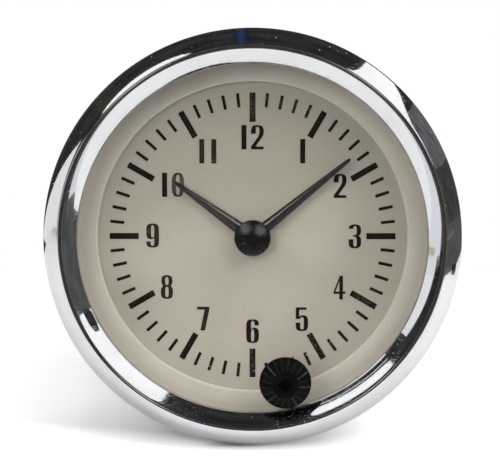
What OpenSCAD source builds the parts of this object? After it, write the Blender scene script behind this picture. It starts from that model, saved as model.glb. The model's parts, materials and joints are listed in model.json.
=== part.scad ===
// Dashboard quartz clock for a round panel hole: bright bezel, flat glass with a
// setting knob through it, pale dial, and the movement, lamp, terminals and clamp
// behind. It is drawn face up, X to 3 o'clock, Y to 12 o'clock and Z towards the
// viewer, with the panel seat at Z = 0, and stood() then turns the dial to face -Y.
// Clock angles run clockwise from 12 o'clock, and all sizes are in millimetres.

/* [Bezel] */
// Outside diameter of the bezel
bezel_d = 60; // [59:0.5:64]
// Height of the crest over the panel seat
bezel_h = 5.0; // [4.6:0.1:6]
// Distance of the crest in from the bezel's outside
crest_in = 2.8; // [2.2:0.1:3.2]
// Distance that the opening in front of the glass lies within the can's outside
sight_in = 1.1; // [0.8:0.05:1.2]
// Thickness of the bezel's sheet
bezel_t = 0.5; // [0.4:0.05:0.6]
// Height of the bezel's straight side
rim_h = 1.7; // [1.5:0.1:2]
// Gap between the can and the lip rolled in behind its flange
curl_gap = 1; // [0.9:0.1:1.5]

/* [Case] */
// Overhang of the bezel past the can's outside
bezel_over = 4; // [3.6:0.1:5]
// Wall of the can
can_t = 0.8; // [0.6:0.05:0.9]
// Length of the can behind the panel seat
can_l = 30; // [30:0.5:36]
// Thickness of the can's flange
flange_t = 0.6; // [0.5:0.05:0.8]
// Thickness of the glass
glass_t = 1.2; // [1:0.1:1.4]
// Edge of the glass that lies on the visor's flange, beyond the can's outside
glass_land = 0.6; // [0.4:0.1:0.8]
// Radial width of the rubber seal round the glass
seal_w = 1.2; // [0.8:0.1:1.3]

/* [Visor] */
// Distance of the rounded lip's top in from the can's inside
lip_in = 2.55; // [2.2:0.05:2.9]
// Height of the lip over the dial
lip_h = 0.65; // [0.5:0.05:0.9]
// Width of the rounded lip
lip_w = 0.5; // [0.4:0.05:0.6]
// Thickness of the visor's flange
visor_t = 0.3; // [0.25:0.05:0.4]

/* [Dial and hands] */
// Depth of the dial's front behind the panel seat
dial_z = 0.7; // [0.6:0.05:0.8]
// Thickness of the dial
dial_t = 0.4; // [0.3:0.05:0.5]
// Distance of the minute hand's tip in from the can's inside
minute_in = 7.1; // [5.5:0.1:11]
// Width of the minute hand at the cap
minute_w = 1.9; // [1.4:0.1:2.2]
// Distance of the hour hand's tip in from the can's inside
hour_in = 11.4; // [9:0.1:15]
// Width of the hour hand at the cap
hour_w = 2.1; // [1.6:0.1:2.4]
// Width of both hands near the tip
tip_w = 0.6; // [0.4:0.05:0.8]
// Thickness of the hands along their ridge
hand_t = 0.3; // [0.25:0.05:0.35]
// Diameter of the cap over the hands
cap_d = 5.25; // [4.8:0.05:6]
// Clock angle of the minute hand
minute_a = 51; // [0:1:359]
// Clock angle of the hour hand
hour_a = 305.5; // [0:0.5:359.5]

/* [Setting knob] */
// Distance of the setting stem in from the can's inside
stem_in = 4.3; // [4.2:0.1:5.6]
// Clock angle of the setting stem
stem_a = 167; // [140:1:200]
// Diameter of the knob's rim
knob_d = 7.4; // [6:0.1:7.6]
// Diameter of the knob's flat front
knob_face_d = 3.7; // [3.2:0.1:4]
// Height of the knob
knob_h = 2.3; // [2:0.1:3]
// Flutes round the knob
knob_flutes = 20; // [14:1:26]
// Width of the square socket in the knob's front
socket_w = 1.4; // [1:0.1:1.8]
// Travel of the knob when it is pushed in
push = 1.0; // [0.6:0.05:1.05]
// Diameter of the setting stem
stem_d = 2.4; // [2:0.1:2.6]

/* [Movement] */
// Distance between the two plates of the movement
plate_gap = 10; // [10:0.1:11]
// Thickness of each plate
plate_t = 1.0; // [0.8:0.1:1.2]
// Diameter of the pillars between the plates
pillar_d = 3.6; // [3:0.1:4]
// Thickness of the wheels of the train
wheel_t = 0.4; // [0.3:0.05:0.5]
// Diameter of the pivots of the train
pivot_d = 0.6; // [0.5:0.05:0.8]
// Diameter of the rotor's magnet
magnet_d = 3.0; // [2.6:0.1:3.4]
// Diameter of the coil's winding
winding_d = 4.4; // [3.6:0.1:4.6]
// Length of the coil's winding
winding_l = 13; // [10:0.5:14]
// Thickness of the circuit board
board_t = 1.2; // [1:0.1:1.6]

/* [Back] */
// Diameter of the two clamp studs
stud_d = 4; // [3:0.5:5]
// Distance of each stud in from the can's outside
stud_in = 9; // [8:0.5:10]
// Length of the studs behind the can
stud_l = 22; // [21:0.5:26]
// Width of the clamp strap
strap_w = 14; // [10:0.5:14]
// Thickness of the clamp strap
strap_t = 1.2; // [1:0.1:1.5]
// Gap between the can and each leg of the strap
strap_slip = 1.4; // [1.3:0.05:1.8]
// Gap left for the panel in front of the strap's legs
panel_gap = 3; // [2.2:0.1:5]
// Width of a terminal's blade
blade_w = 6.3; // [4.8:0.1:6.3]
// Thickness of a terminal's blade
blade_t = 0.8; // [0.5:0.1:0.8]
// Diameter of the lamp holder's barrel
lamp_d = 9.2; // [8:0.1:10]

/* [Hidden] */
$fn = 96;

// Clearances: a shaft in its bore, a part that slides in past another, a loose hole
run = 0.04;
slip = 0.1;
loose = 0.25;
// End play of an arbor or a collar
play = 0.05;
// Overlap of a cutting solid past the face that it cuts
cut = 1;

// Bezel, glass and visor
bezel_r = bezel_d / 2;
crest_r = bezel_r - crest_in;
can_r = bezel_r - bezel_over;
sight_r = can_r - sight_in;
curl_r = can_r + curl_gap;
crest_w = 0.4;
rim_round = 0.7;
flank_bulge = 0.22;
slope_bulge = 0.12;
crest_drop = 0.08;
edge = 0.1;
can_in = can_r - can_t;
flange_slip = 0.6;
flange_z = bezel_t + flange_t;
flange_r = bezel_r - bezel_t - flange_slip;
glass_z = flange_z + visor_t;
glass_top = glass_z + glass_t;
glass_r = can_r + glass_land;
lip_top = glass_top + bezel_t;
lip_land = 0.45;
seal_proud = 0.3;
seal_h = glass_t + seal_proud;
visor_r = can_in - slip;
lip_r = can_in - lip_in;
visor_flange_r = glass_r + seal_w;
cove_sag = 0.32;

// Dial, hands and the wheels under the dial
dial_back = -dial_z - dial_t;
dial_r = can_in - 2 * slip;
minute_l = can_in - minute_in;
hour_l = can_in - hour_in;
hand_gap = 0.45;
hour_hand_z = -dial_z + hand_gap;
minute_hand_z = hour_hand_z + hand_t + hand_t;
cannon_d = 1.8;
tip_d = 1.4;
cannon_top = minute_hand_z + hand_t + play;
cap_z = minute_hand_z + hand_t;
cap_h = 0.5;
cap_edge = 0.12;
dimple_r = 0.5;
hand_hub_d = cap_d - 0.9;
hand_edge = 0.02;
hand_point = 0.7;
pipe_bore = cannon_d + 2 * run;
pipe_d = 2.6;
pipe_top_d = 2.3;

// Feet behind the dial, in notches of the carrier
foot_d = 1.2;
foot_angles = [90, 240];
foot_in = 1;

// Depths of the motion work, from the back of the dial
motion_gap = 3.8;
hour_drop = 1.2;
wheel_lift = 2.1;
leaf_over = 0.3;
plate_front = dial_back - motion_gap;
plate_back = plate_front - plate_t;
hour_wheel_z = dial_back - hour_drop;
hour_wheel_t = 0.6;
minute_wheel_z = plate_front + wheel_lift;
minute_wheel_t = 0.6;
hour_leaf_z = hour_wheel_z + hour_wheel_t + 2 * slip;
cannon_leaf_t = 0.8;
cannon_leaf_z = minute_wheel_z - minute_wheel_t - slip;

// Teeth and modules: the hands' gearing is 12 to 1 and the setting train 1 to 1
cannon_teeth = 12;
minute_wheel_teeth = 36;
minute_leaf_teeth = 10;
hour_wheel_teeth = 40;
idler_teeth = 20;
stem_teeth = 12;
stem_r = can_in - stem_in;
mod_share = 0.0149522;
motion_mod = stem_r * mod_share;
hour_mod = motion_mod * (cannon_teeth + minute_wheel_teeth)
    / (minute_leaf_teeth + hour_wheel_teeth);
motion_holes = 5;
hour_hole_at = 3.5;
hour_hole_d = 2.2;
motion_hole_at = 3.4;
motion_hole_d = 1.8;
motion_r = (cannon_teeth + minute_wheel_teeth) * motion_mod / 2;
idler_reach = (minute_wheel_teeth + idler_teeth) * motion_mod / 2;
stem_reach = (idler_teeth + stem_teeth) * motion_mod / 2;
train_reach = idler_reach + stem_reach;
motion_post_d = 1.0;
idler_post_d = 1.4;
post_root_d = 1.2;
post_step = 1.0;
wheel_form = [0.85, 1.35, 0.42, 0.40];
leaf_form = [0.60, 1.45, 0.34, 0.45];

// Places of the setting train: the idler lies on the line from wheel to stem
stem_p = on_dial(stem_r, stem_a);
motion_a = stem_a + acos((motion_r * motion_r + stem_r * stem_r - train_reach * train_reach)
    / (2 * motion_r * stem_r));
motion_p = on_dial(motion_r, motion_a);
idler_p = motion_p + (stem_p - motion_p) * idler_reach / train_reach;

// Phases that put each wheel in mesh with the one before it
cannon_phase = 90 - minute_a;
motion_phase = meshed(cannon_phase, cannon_teeth, minute_wheel_teeth, heading([0, 0], motion_p));
minute_leaf_phase = motion_phase;
hour_phase = meshed(minute_leaf_phase, minute_leaf_teeth, hour_wheel_teeth,
    heading(motion_p, [0, 0]));
idler_phase = meshed(motion_phase, minute_wheel_teeth, idler_teeth, heading(motion_p, idler_p));
stem_phase = meshed(idler_phase, idler_teeth, stem_teeth, heading(idler_p, stem_p));

// Going train between the plates, from the centre wheel back to the rotor
train_mod = 0.2;
hole_at = 0.55;
hole_share = 0.42;
centre_teeth = 64;
third_leaf_teeth = 8;
third_teeth = 60;
fourth_leaf_teeth = 8;
fourth_teeth = 60;
intermediate_leaf_teeth = 10;
intermediate_teeth = 40;
rotor_teeth = 8;
third_p = spaced([0, 0], third_leaf_teeth + centre_teeth, 180);
fourth_p = spaced(third_p, fourth_leaf_teeth + third_teeth, 100);
intermediate_p = spaced(fourth_p, intermediate_leaf_teeth + fourth_teeth, 20);
rotor_p = spaced(intermediate_p, rotor_teeth + intermediate_teeth, 10);
third_phase = meshed(0, centre_teeth, third_leaf_teeth, 180);
fourth_phase = meshed(third_phase, third_teeth, fourth_leaf_teeth, 100);
intermediate_phase = meshed(fourth_phase, fourth_teeth, intermediate_leaf_teeth, 20);
rotor_phase = meshed(intermediate_phase, intermediate_teeth, rotor_teeth, 10);

// Depths of the going train behind the front plate
train_z = plate_back;
train_end = train_z - plate_gap;
rear_back = train_end - plate_t;
wheel_step = 1.5;
first_wheel = 1.0;
arbor_d = 0.8;
centre_arbor_d = 1.5;
centre_hub_d = 3;
level = [for (i = [0:3]) train_z - first_wheel - i * wheel_step];
stator_t = 0.5;
core_z = train_end + 2.7;
magnet_h = 1.4;
magnet_gap = 0.4;
yoke_w = 1.6;
coil_in = 10.7;
coil_x = can_in - coil_in;
coil_y = -0.5;
core_l = winding_l + 6.6;
core_w = 2.4;
core_neck = core_w - 0.8;
bobbin_t = 0.6;
bobbin_d = winding_d - 1.2;
leg_gap = 0.4;

// Pillars, board and posts behind the movement
pillar_angles = [50, 140, 285];
carrier_r = can_in - slip;
carrier_t = 0.8;
carrier_in = carrier_r - carrier_t;
ledge_w = 0.85;
ledge_r = carrier_in - ledge_w;
ledge_t = 1;
plate_r = carrier_in - play;
pillar_in = 1.95;
pillar_r = plate_r - pillar_d / 2 - pillar_in;
board_gap = 4.1;
board_z = rear_back - board_gap;
board_back = board_z - board_t;
board_in = 2.3;
board_r = can_in - board_in;
screw_d = 2.4;
screw_head_d = 4.4;
screw_head_h = 1.5;
slot_w = 0.7;
thread_l = 4;
chip_p = [2, -6];
chip_l = 9.2;
chip_w = 6;
chip_h = 1.8;
leg_l = 1.2;
leg_w = 0.8;
leg_t = 0.3;
leg_pitch = 2.4;
leg_in = (chip_l - 3 * leg_pitch - leg_w) / 2;
crystal_p = [-5, 2.2];
crystal_r = 1.1;
crystal_l = 7;
// Capacitors: place, diameter and share of the room behind the board
capacitors = [[[8, 9], 3.6, 0.63], [[13, 6], 3.6, 0.63], [[-12, 2], 4.4, 0.71]];
inner_back = can_t - can_l;
corner_r = 1.6;

// Lamp, terminals and clamp
lamp_in = 8.1;
lamp_a = 217.9;
lamp_p = on_dial(can_in - lamp_in, lamp_a);
lamp_flange_d = lamp_d + 1.8;
lamp_flange_t = 1.2;
lamp_depth = 6;
lamp_neck_d = lamp_d - 2.4;
lamp_neck_l = 4;
lamp_tab = [2.4, 0.6, 5];
lamp_tab_gap = 0.4;
bulb_seat = 2;
bulb_d = 4.6;
bulb_tip = rear_back - 1.6;
terminal_in = 11.2;
terminal_y = can_in - terminal_in;
terminal_pitch = 12;
insulator_w = 9;
insulator_t = 1.6;
boss_w = 5;
blade_l = 8;
blade_tail = 1.5;
blade_chamfer = 0.9;
detent_d = 1.7;
strap_gap = 2.3;
strap_z = -can_l - screw_head_h - strap_gap;
strap_back = strap_z - strap_t;
strap_bend = 2.4;
leg_x = can_r + strap_slip;
stud_x = can_r - stud_in;
leg_tip = -panel_gap;
stud_foot_d = stud_d + 2;
stud_foot_t = 0.6;
washer_d = stud_d * 2.25;
washer_t = 0.8;
nut_d = 10;
nut_h = 5;
nut_ridges = 24;
nut_groove = 0.35;
nut_collar = 1;
nut_collar_d = nut_d * 0.8;
strap_slot = 1.6;

// Knob, stem and return spring
bush_flange_d = 5.2;
bush_flange_t = 0.4;
bush_d = 3.8;
bush_top = glass_top + bush_flange_t;
knob_z = bush_top + push + slip;
knob_top = knob_z + knob_h;
socket_depth = 0.9;
knob_rim = 0.5;
flute_d = 0.62;
flute_out = 0.12;
stem_bore = stem_d + 2 * run;
stem_top = knob_z + knob_h - socket_depth - 0.3;
stem_leaf_t = minute_wheel_t + push + 2 * slip;
stem_leaf_top = minute_wheel_z + push + slip;
collar_d = 4;
collar_t = 0.6;
collar_z = plate_back - play;
tail_d = 1.8;
tail_l = 1.6;
spring_r = 1.5;
wire_d = 0.4;
spring_turns = 8;
peg_d = 1.8;
peg_h = 2;

// Place on the dial at a distance and a clock angle
function on_dial(r, a) = [r * sin(a), r * cos(a)];

// Direction from one point to another
function heading(p, q) = atan2(q[1] - p[1], q[0] - p[0]);

// Place of a wheel that meshes with the one at p, in a given direction
function spaced(p, teeth, dir) = p + teeth * train_mod / 2 * [cos(dir), sin(dir)];

// Phase of gear b in mesh with gear a, whose tooth stands at phase_a, b lying at dir from a
function meshed(phase_a, teeth_a, teeth_b, dir) =
    dir + 180 - (phase_a - dir) * teeth_a / teeth_b + 180 / teeth_b;

// Seat of one end of the coil's core
function core_end(s) = [coil_x, coil_y + s * (core_l - core_w) / 2];

// Points along a circular arc about c
function arc(c, r, a0, a1, n) = [for (i = [0:n]) c + r * [cos(a0 + (a1 - a0) * i / n),
    sin(a0 + (a1 - a0) * i / n)]];

// Points from p to q along a parabola that swells to the right of the way by sag
function bowed(p, q, sag, n) = let (d = q - p, side = [d[1], -d[0]] / norm(d))
    [for (i = [0:n]) let (t = i / n) p + d * t + side * sag * 4 * t * (1 - t)];

// One tooth of a gear: root, pitch circle and tip, on both sides
function tooth(r, mod, half, form, a0) = [
    for (c = [[r - form[1] * mod, -half], [r, -half], [r + form[0] * mod, -half * form[3]],
        [r + form[0] * mod, half * form[3]], [r, half], [r - form[1] * mod, half]])
    c[0] * [cos(a0 + c[1]), sin(a0 + c[1])]];

function gear_points(teeth, mod, phase, form) = [for (i = [0:teeth - 1],
    p = tooth(teeth * mod / 2, mod, 180 / teeth * form[2], form, phase + i * 360 / teeth)) p];

module stood() rotate([90, 0, 0]) children();

module at(p, z) translate([p[0], p[1], z]) children();

// Round bar from a lower to a higher level
module rod(d, z0, z1) translate([0, 0, min(z0, z1)]) cylinder(d = d, h = abs(z1 - z0));

// Straight bar of width w with round ends, from p to q
module bar(p, q, w) translate(p) rotate(heading(p, q)) {
    translate([0, -w / 2]) square([norm(q - p), w]);
    circle(d = w);
    translate([norm(q - p), 0]) circle(d = w);
}

module gear(teeth, mod, phase, form, z, t)
    translate([0, 0, z - t]) linear_extrude(t) polygon(gear_points(teeth, mod, phase, form));

// Disc wheel with round holes between its hub and its rim
module train_wheel(teeth, phase, z, holes) {
    r = teeth * train_mod / 2;
    difference() {
        gear(teeth, train_mod, phase, wheel_form, z, wheel_t);
        for (i = [0:holes - 1]) rotate(i * 360 / holes)
            translate([r * hole_at, 0, z - wheel_t - cut])
                cylinder(d = r * hole_share, h = wheel_t + 2 * cut);
    }
}

// Arbor with its two pivots between the plates
module train_arbor() {
    rod(arbor_d, train_end + play, train_z - play);
    rod(pivot_d, rear_back + slip, plate_front - slip);
}

// Leaves that drive the wheel of the level above
module leaves(teeth, phase, z)
    gear(teeth, train_mod, phase, leaf_form, z + leaf_over, wheel_t + 2 * leaf_over);

// Cap screw with a slot, its head standing towards -Z from the face at z
module back_screw(z, l) {
    difference() {
        rod(screw_head_d, z - screw_head_h, z);
        translate([-screw_head_d, -slot_w / 2, z - screw_head_h - cut])
            cube([2 * screw_head_d, slot_w, cut + slot_w]);
    }
    rod(screw_d, z, z + l);
}

module bezel() color("silver") stood() rotate_extrude($fn = 180) polygon(concat(
    [[curl_r, 0]],
    arc([bezel_r - rim_round, rim_round], rim_round, -90, 0, 6),
    bowed([bezel_r, rim_h], [crest_r + crest_w / 2, bezel_h - crest_drop], flank_bulge, 8),
    [[crest_r, bezel_h]],
    bowed([crest_r - crest_w / 2, bezel_h - crest_drop], [sight_r + edge, lip_top], -slope_bulge, 6),
    [[sight_r, lip_top - edge], [sight_r, glass_top], [sight_r + lip_land, glass_top]],
    [[crest_r - crest_w / 2, bezel_h - 1.35 * bezel_t], [crest_r + crest_w / 2,
        bezel_h - 1.5 * bezel_t]],
    [[bezel_r - bezel_t, rim_h - 0.2], [bezel_r - bezel_t, rim_round],
        [bezel_r - rim_round, bezel_t], [curl_r, bezel_t]]));

module glass() color("lightcyan", 0.3) stood() difference() {
    rod(2 * glass_r, glass_z, glass_top);
    at(stem_p, 0) rod(bush_d, glass_z - cut, glass_top + cut);
}

module glass_seal() color("dimgray") stood() difference() {
    rod(2 * visor_flange_r, glass_z, glass_z + seal_h);
    rod(2 * glass_r, glass_z - cut, glass_z + seal_h + cut);
}

// Cream ring whose hollow slope falls from the glass to a rounded lip over the dial
module visor_ring() color("bisque") stood() rotate_extrude($fn = 180) polygon(concat(
    [[lip_r - lip_w / 2, -dial_z], [visor_r, -dial_z], [visor_r, flange_z],
        [visor_flange_r, flange_z], [visor_flange_r, glass_z]],
    bowed([visor_r - 0.05, glass_z], [lip_r + lip_w / 2, lip_h - dial_z - 0.08], -cove_sag, 8),
    arc([lip_r, lip_h - dial_z - lip_w / 2], lip_w / 2, 60, 180, 6)));

module dial() color("wheat") stood() {
    difference() {
        rod(2 * dial_r, dial_back, -dial_z);
        rod(pipe_d + 2 * loose, dial_back - cut, cut);
        at(stem_p, 0) rod(stem_d + 2 * loose, dial_back - cut, cut);
    }
    for (a = foot_angles) at(on_dial(carrier_in - foot_in, a), 0)
        rod(foot_d, plate_front, dial_back);
}

module case_can() color("gray") stood() difference() {
    rotate_extrude($fn = 144) polygon(concat(
        [[0, -can_l]],
        arc([can_r - corner_r, corner_r - can_l], corner_r, -90, 0, 6),
        [[can_r, bezel_t], [flange_r, bezel_t], [flange_r, flange_z], [can_in, flange_z]],
        arc([can_r - corner_r, corner_r - can_l], corner_r - can_t, 0, -90, 6),
        [[0, inner_back]]));
    at([0, terminal_y], 0) for (s = [-1, 1]) translate([s * terminal_pitch / 2, 0, 0])
        rod(boss_w, -can_l - cut, inner_back + cut);
    at(lamp_p, 0) rod(lamp_d + 2 * run, -can_l - cut, inner_back + cut);
    for (a = pillar_angles) at(on_dial(pillar_r, a), 0)
        rod(screw_d + 2 * slip, -can_l - cut, inner_back + cut);
}

// Moulded ring inside the can, from the dial to the rear plate, with a ledge in front
module movement_carrier() color("whitesmoke") stood() difference() {
    rod(2 * carrier_r, rear_back, dial_back);
    rod(2 * carrier_in, rear_back - cut, plate_front);
    rod(2 * ledge_r, plate_front - cut, plate_front + ledge_t + cut);
    rod(2 * carrier_in, plate_front + ledge_t, dial_back + cut);
    for (a = foot_angles) at(on_dial(carrier_in - foot_in, a), 0)
        rod(foot_d + 2 * slip, rear_back, dial_back);
}

module front_plate() color("goldenrod") stood() difference() {
    rod(2 * plate_r, plate_back, plate_front);
    rod(centre_arbor_d + 2 * run, plate_back - cut, plate_front + cut);
    at(stem_p, 0) rod(stem_bore, plate_back - cut, plate_front + cut);
    for (p = [third_p, fourth_p, intermediate_p, rotor_p])
        at(p, 0) rod(pivot_d + 2 * run, plate_back - cut, plate_front + cut);
    for (p = [motion_p, idler_p]) at(p, 0)
        rod(post_root_d, plate_back - cut, plate_front + cut);
    for (a = pillar_angles) at(on_dial(pillar_r, a), 0)
        rod(screw_d + 2 * slip, plate_back - cut, plate_front + cut);
}

// Rear plate with the seats of the coil's core and the peg of the return spring
module rear_plate() color("goldenrod") stood() difference() {
    union() {
        rod(2 * plate_r, rear_back, train_end);
        for (s = [-1, 1]) at(core_end(s), 0) rod(core_w, train_end, core_z - stator_t);
        at(stem_p, 0) rod(peg_d, train_end, train_end + peg_h);
    }
    for (p = [[0, 0], third_p, fourth_p, intermediate_p, rotor_p])
        at(p, 0) rod(pivot_d + 2 * run, rear_back - cut, train_end + cut);
    for (a = pillar_angles) at(on_dial(pillar_r, a), 0)
        rod(screw_d + 2 * slip, rear_back - cut, train_end + cut);
}

module plate_pillars() color("khaki") stood() for (a = pillar_angles)
    at(on_dial(pillar_r, a), 0) difference() {
        rod(pillar_d, train_end, train_z);
        rod(screw_d, train_z - thread_l, train_z + cut);
        rod(screw_d, train_end - cut, train_end + thread_l);
    }

// Screws from the motion side into the pillars, their flat heads under the dial
module plate_screws() color("lightgray") stood() for (a = pillar_angles)
    at(on_dial(pillar_r, a), 0) rotate([180, 0, 0])
        back_screw(-plate_front, plate_t + thread_l - 5 * slip);

module motion_posts() color("lightgray") stood() {
    at(motion_p, 0) {
        rod(motion_post_d, plate_front, dial_back - dial_t);
        rod(post_root_d, plate_back, plate_front);
        rod(motion_post_d + post_step, plate_front, minute_wheel_z - minute_wheel_t - play);
    }
    at(idler_p, 0) {
        rod(idler_post_d, plate_front, minute_wheel_z + leaf_over);
        rod(post_root_d, plate_back, plate_front);
        rod(idler_post_d + post_step, plate_front, minute_wheel_z - minute_wheel_t - play);
    }
}

module setting_bush() color("black") stood() at(stem_p, 0) difference() {
    union() {
        rod(bush_flange_d, glass_top, bush_top);
        rod(bush_d, glass_z, glass_top);
    }
    rod(stem_bore, glass_z - cut, bush_top + cut);
}

// The coil stands beside the train: a core, a bobbin on it and the wire round that
module along_core() translate([coil_x, coil_y, core_z - stator_t / 2]) rotate([90, 0, 0])
    children();

module coil_bobbin() color("seagreen") stood() along_core() difference() {
    union() {
        cylinder(d = bobbin_d, h = winding_l, center = true);
        for (s = [-1, 1]) translate([0, 0, s * (winding_l + bobbin_t) / 2])
            cylinder(d = winding_d, h = bobbin_t, center = true);
    }
    cube([core_neck, stator_t, core_l], center = true);
}

module coil_winding() color("chocolate") stood() along_core() difference() {
    cylinder(d = winding_d - slip, h = winding_l, center = true);
    cylinder(d = bobbin_d, h = winding_l + cut, center = true);
}

module coil_core() color("slategray") stood() {
    along_core() cube([core_neck, stator_t, winding_l + 2 * bobbin_t], center = true);
    for (s = [-1, 1]) translate([0, 0, core_z - stator_t]) linear_extrude(stator_t)
        bar([coil_x, coil_y + s * (winding_l / 2 + bobbin_t + core_w / 2)], core_end(s), core_w);
}

// Soft iron plate with the rotor's hole and a leg to each end of the core, one round the coil
module stator() color("lightsteelblue") stood() translate([0, 0, core_z])
    linear_extrude(stator_t) difference() {
        elbow = [coil_x - winding_d / 2 - core_w / 2 - leg_gap, core_end(-1)[1]];
        union() {
            translate(rotor_p) circle(r = magnet_d / 2 + magnet_gap + yoke_w);
            bar(rotor_p, core_end(1), core_w);
            bar(rotor_p, elbow, core_w);
            bar(elbow, core_end(-1), core_w);
        }
        translate(rotor_p) circle(r = magnet_d / 2 + magnet_gap);
    }

module circuit_board() color("darkgreen") stood() difference() {
    rod(2 * board_r, board_back, board_z);
    at(lamp_p, 0) rod(lamp_flange_d, board_back - cut, board_z + cut);
    for (s = [-1, 1]) at([s * terminal_pitch / 2, terminal_y], 0)
        translate([-blade_tail / 2, -blade_t / 2, board_back - cut])
            cube([blade_tail, blade_t, board_t + 2 * cut]);
}

module board_spacers() color("tan") stood() for (a = pillar_angles)
    at(on_dial(pillar_r, a), 0) difference() {
        rod(pillar_d, board_z, rear_back);
        rod(screw_d, board_z - cut, rear_back + cut);
    }

// Chip with four legs a side that reach back to the board
module control_chip() color("darkslategray") stood() at(chip_p, board_back - chip_h) {
    cube([chip_l, chip_w, chip_h - 2 * slip]);
    for (i = [0:3], y = [-leg_l, chip_w])
        translate([leg_in + i * leg_pitch, y, chip_h / 2 - leg_t]) cube([leg_w, leg_l, leg_t]);
    for (i = [0:3], y = [-leg_l, chip_w + leg_l - leg_t])
        translate([leg_in + i * leg_pitch, y, chip_h / 2 - leg_t])
            cube([leg_w, leg_t, chip_h / 2 + leg_t]);
}

module quartz_crystal() color("lightgray") stood()
    at(crystal_p, board_back - crystal_r) rotate([0, 90, 0])
    cylinder(r = crystal_r, h = crystal_l);

module board_capacitors() color("peru") stood() for (c = capacitors)
    at(c[0], 0) rod(c[1], board_back - c[2] * (board_back - inner_back), board_back);

// Posts that tie the board to the back of the can
module case_posts() color("tan") stood() for (a = pillar_angles)
    at(on_dial(pillar_r, a), 0) difference() {
        rod(pillar_d, inner_back, board_back);
        rod(screw_d, inner_back - cut, board_back + cut);
    }

module case_screws() color("silver") stood() for (a = pillar_angles)
    at(on_dial(pillar_r, a), 0) back_screw(-can_l, can_t + thread_l);

// Moulded strip outside the can, with a boss round each terminal in the can's holes
module terminal_insulator() color("dimgray") stood() at([0, terminal_y], 0) difference() {
    union() {
        translate([0, 0, -can_l - insulator_t]) linear_extrude(insulator_t)
            bar([-terminal_pitch / 2, 0], [terminal_pitch / 2, 0], insulator_w);
        for (s = [-1, 1]) translate([s * terminal_pitch / 2, 0, 0])
            rod(boss_w - 2 * slip, -can_l, inner_back + 0.6);
    }
    for (s = [-1, 1]) translate([s * terminal_pitch / 2, 0, 0])
        translate([-blade_tail / 2, -blade_t / 2, -can_l - insulator_t - cut])
            cube([blade_tail, blade_t, can_l]);
}

// Push-on blades with a detent hole, a chamfered end and a tail to the circuit board
module spade_terminals() color("silver") stood() for (s = [-1, 1])
    translate([s * terminal_pitch / 2, terminal_y, -can_l - insulator_t]) rotate([90, 0, 0])
        linear_extrude(blade_t, center = true) difference() {
            union() {
                polygon([[-blade_w / 2, 0], [-blade_w / 2, blade_chamfer - blade_l],
                    [blade_chamfer - blade_w / 2, -blade_l],
                    [blade_w / 2 - blade_chamfer, -blade_l],
                    [blade_w / 2, blade_chamfer - blade_l], [blade_w / 2, 0]]);
                translate([-blade_tail / 2, -cut])
                    square([blade_tail, cut + board_back + can_l + insulator_t + board_t / 2]);
            }
            translate([0, -blade_l * 0.6]) circle(d = detent_d);
        }

module lamp_holder() color("black") stood() at(lamp_p, 0) {
    difference() {
        union() {
            rod(lamp_flange_d, -can_l - lamp_flange_t, -can_l);
            rod(lamp_d, -can_l, lamp_depth - can_l);
            rod(lamp_neck_d, -can_l - lamp_flange_t - lamp_neck_l, -can_l - lamp_flange_t);
        }
        rod(bulb_d, bulb_seat - can_l, lamp_depth - can_l + cut);
    }
    for (x = [-lamp_tab[0] - lamp_tab_gap / 2, lamp_tab_gap / 2]) translate([x, -lamp_tab[1] / 2,
        -can_l - lamp_flange_t - lamp_neck_l - lamp_tab[2]]) cube(lamp_tab);
}

module lamp_bulb() color("honeydew") stood() at(lamp_p, 0) rotate_extrude() polygon(concat(
    [[0, bulb_seat - can_l], [bulb_d / 2, bulb_seat - can_l]],
    arc([0, bulb_tip - bulb_d / 2], bulb_d / 2, 0, 90, 8)));

// Threaded studs on weld feet, their threads left plain
module mounting_studs() color("silver") stood() for (s = [-1, 1])
    translate([s * stud_x, 0, 0]) {
        rod(stud_d, -can_l - stud_l, -can_l);
        rod(stud_foot_d, -can_l - stud_foot_t, -can_l);
    }

// Arbor of the minute hand, with the cannon pinion and the friction seat of its wheel
module minute_arbor() color("lightgray") stood() {
    rod(pivot_d, rear_back + slip, train_end);
    rod(centre_arbor_d, train_end + play, plate_front + play);
    rod(cannon_d, plate_front + play, minute_hand_z);
    rod(tip_d, minute_hand_z, cannon_top);
    gear(cannon_teeth, motion_mod, cannon_phase, leaf_form, cannon_leaf_z + cannon_leaf_t,
        cannon_leaf_t);
}

// Tapered blade with a ridge along its middle, pointing to 12, with a hub over the bore
module hand_blade(l, w, bore) {
    difference() {
        union() {
            intersection() {
                linear_extrude(hand_t) polygon([[-w / 2, 0], [-tip_w / 2, l - hand_point],
                    [-tip_w / 5, l], [tip_w / 5, l], [tip_w / 2, l - hand_point], [w / 2, 0]]);
                rotate([-90, 0, 0]) linear_extrude(l + cut) polygon([[-w, 0], [-w, -hand_edge],
                    [0, -hand_t], [w, -hand_edge], [w, 0]]);
            }
            cylinder(d = hand_hub_d, h = hand_t);
        }
        rod(bore, -cut, hand_t + cut);
    }
}

module minute_hand() color("black") stood() translate([0, 0, minute_hand_z])
    rotate(-minute_a) hand_blade(minute_l, minute_w, tip_d);

module hour_hand() color("black") stood() translate([0, 0, hour_hand_z])
    rotate(-hour_a) hand_blade(hour_l, hour_w, pipe_top_d);

// Domed cap pressed over the end of the minute arbor, with a shallow dimple
module hub_cap() color("black") stood() rotate_extrude() polygon(concat(
    [[0, cannon_top], [tip_d / 2, cannon_top], [tip_d / 2, cap_z], [cap_d / 2, cap_z]],
    bowed([cap_d / 2, cap_z + cap_edge], [dimple_r, cap_z + cap_h], 0.09, 8),
    [[0, cap_z + cap_h - 0.05]]));

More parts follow.
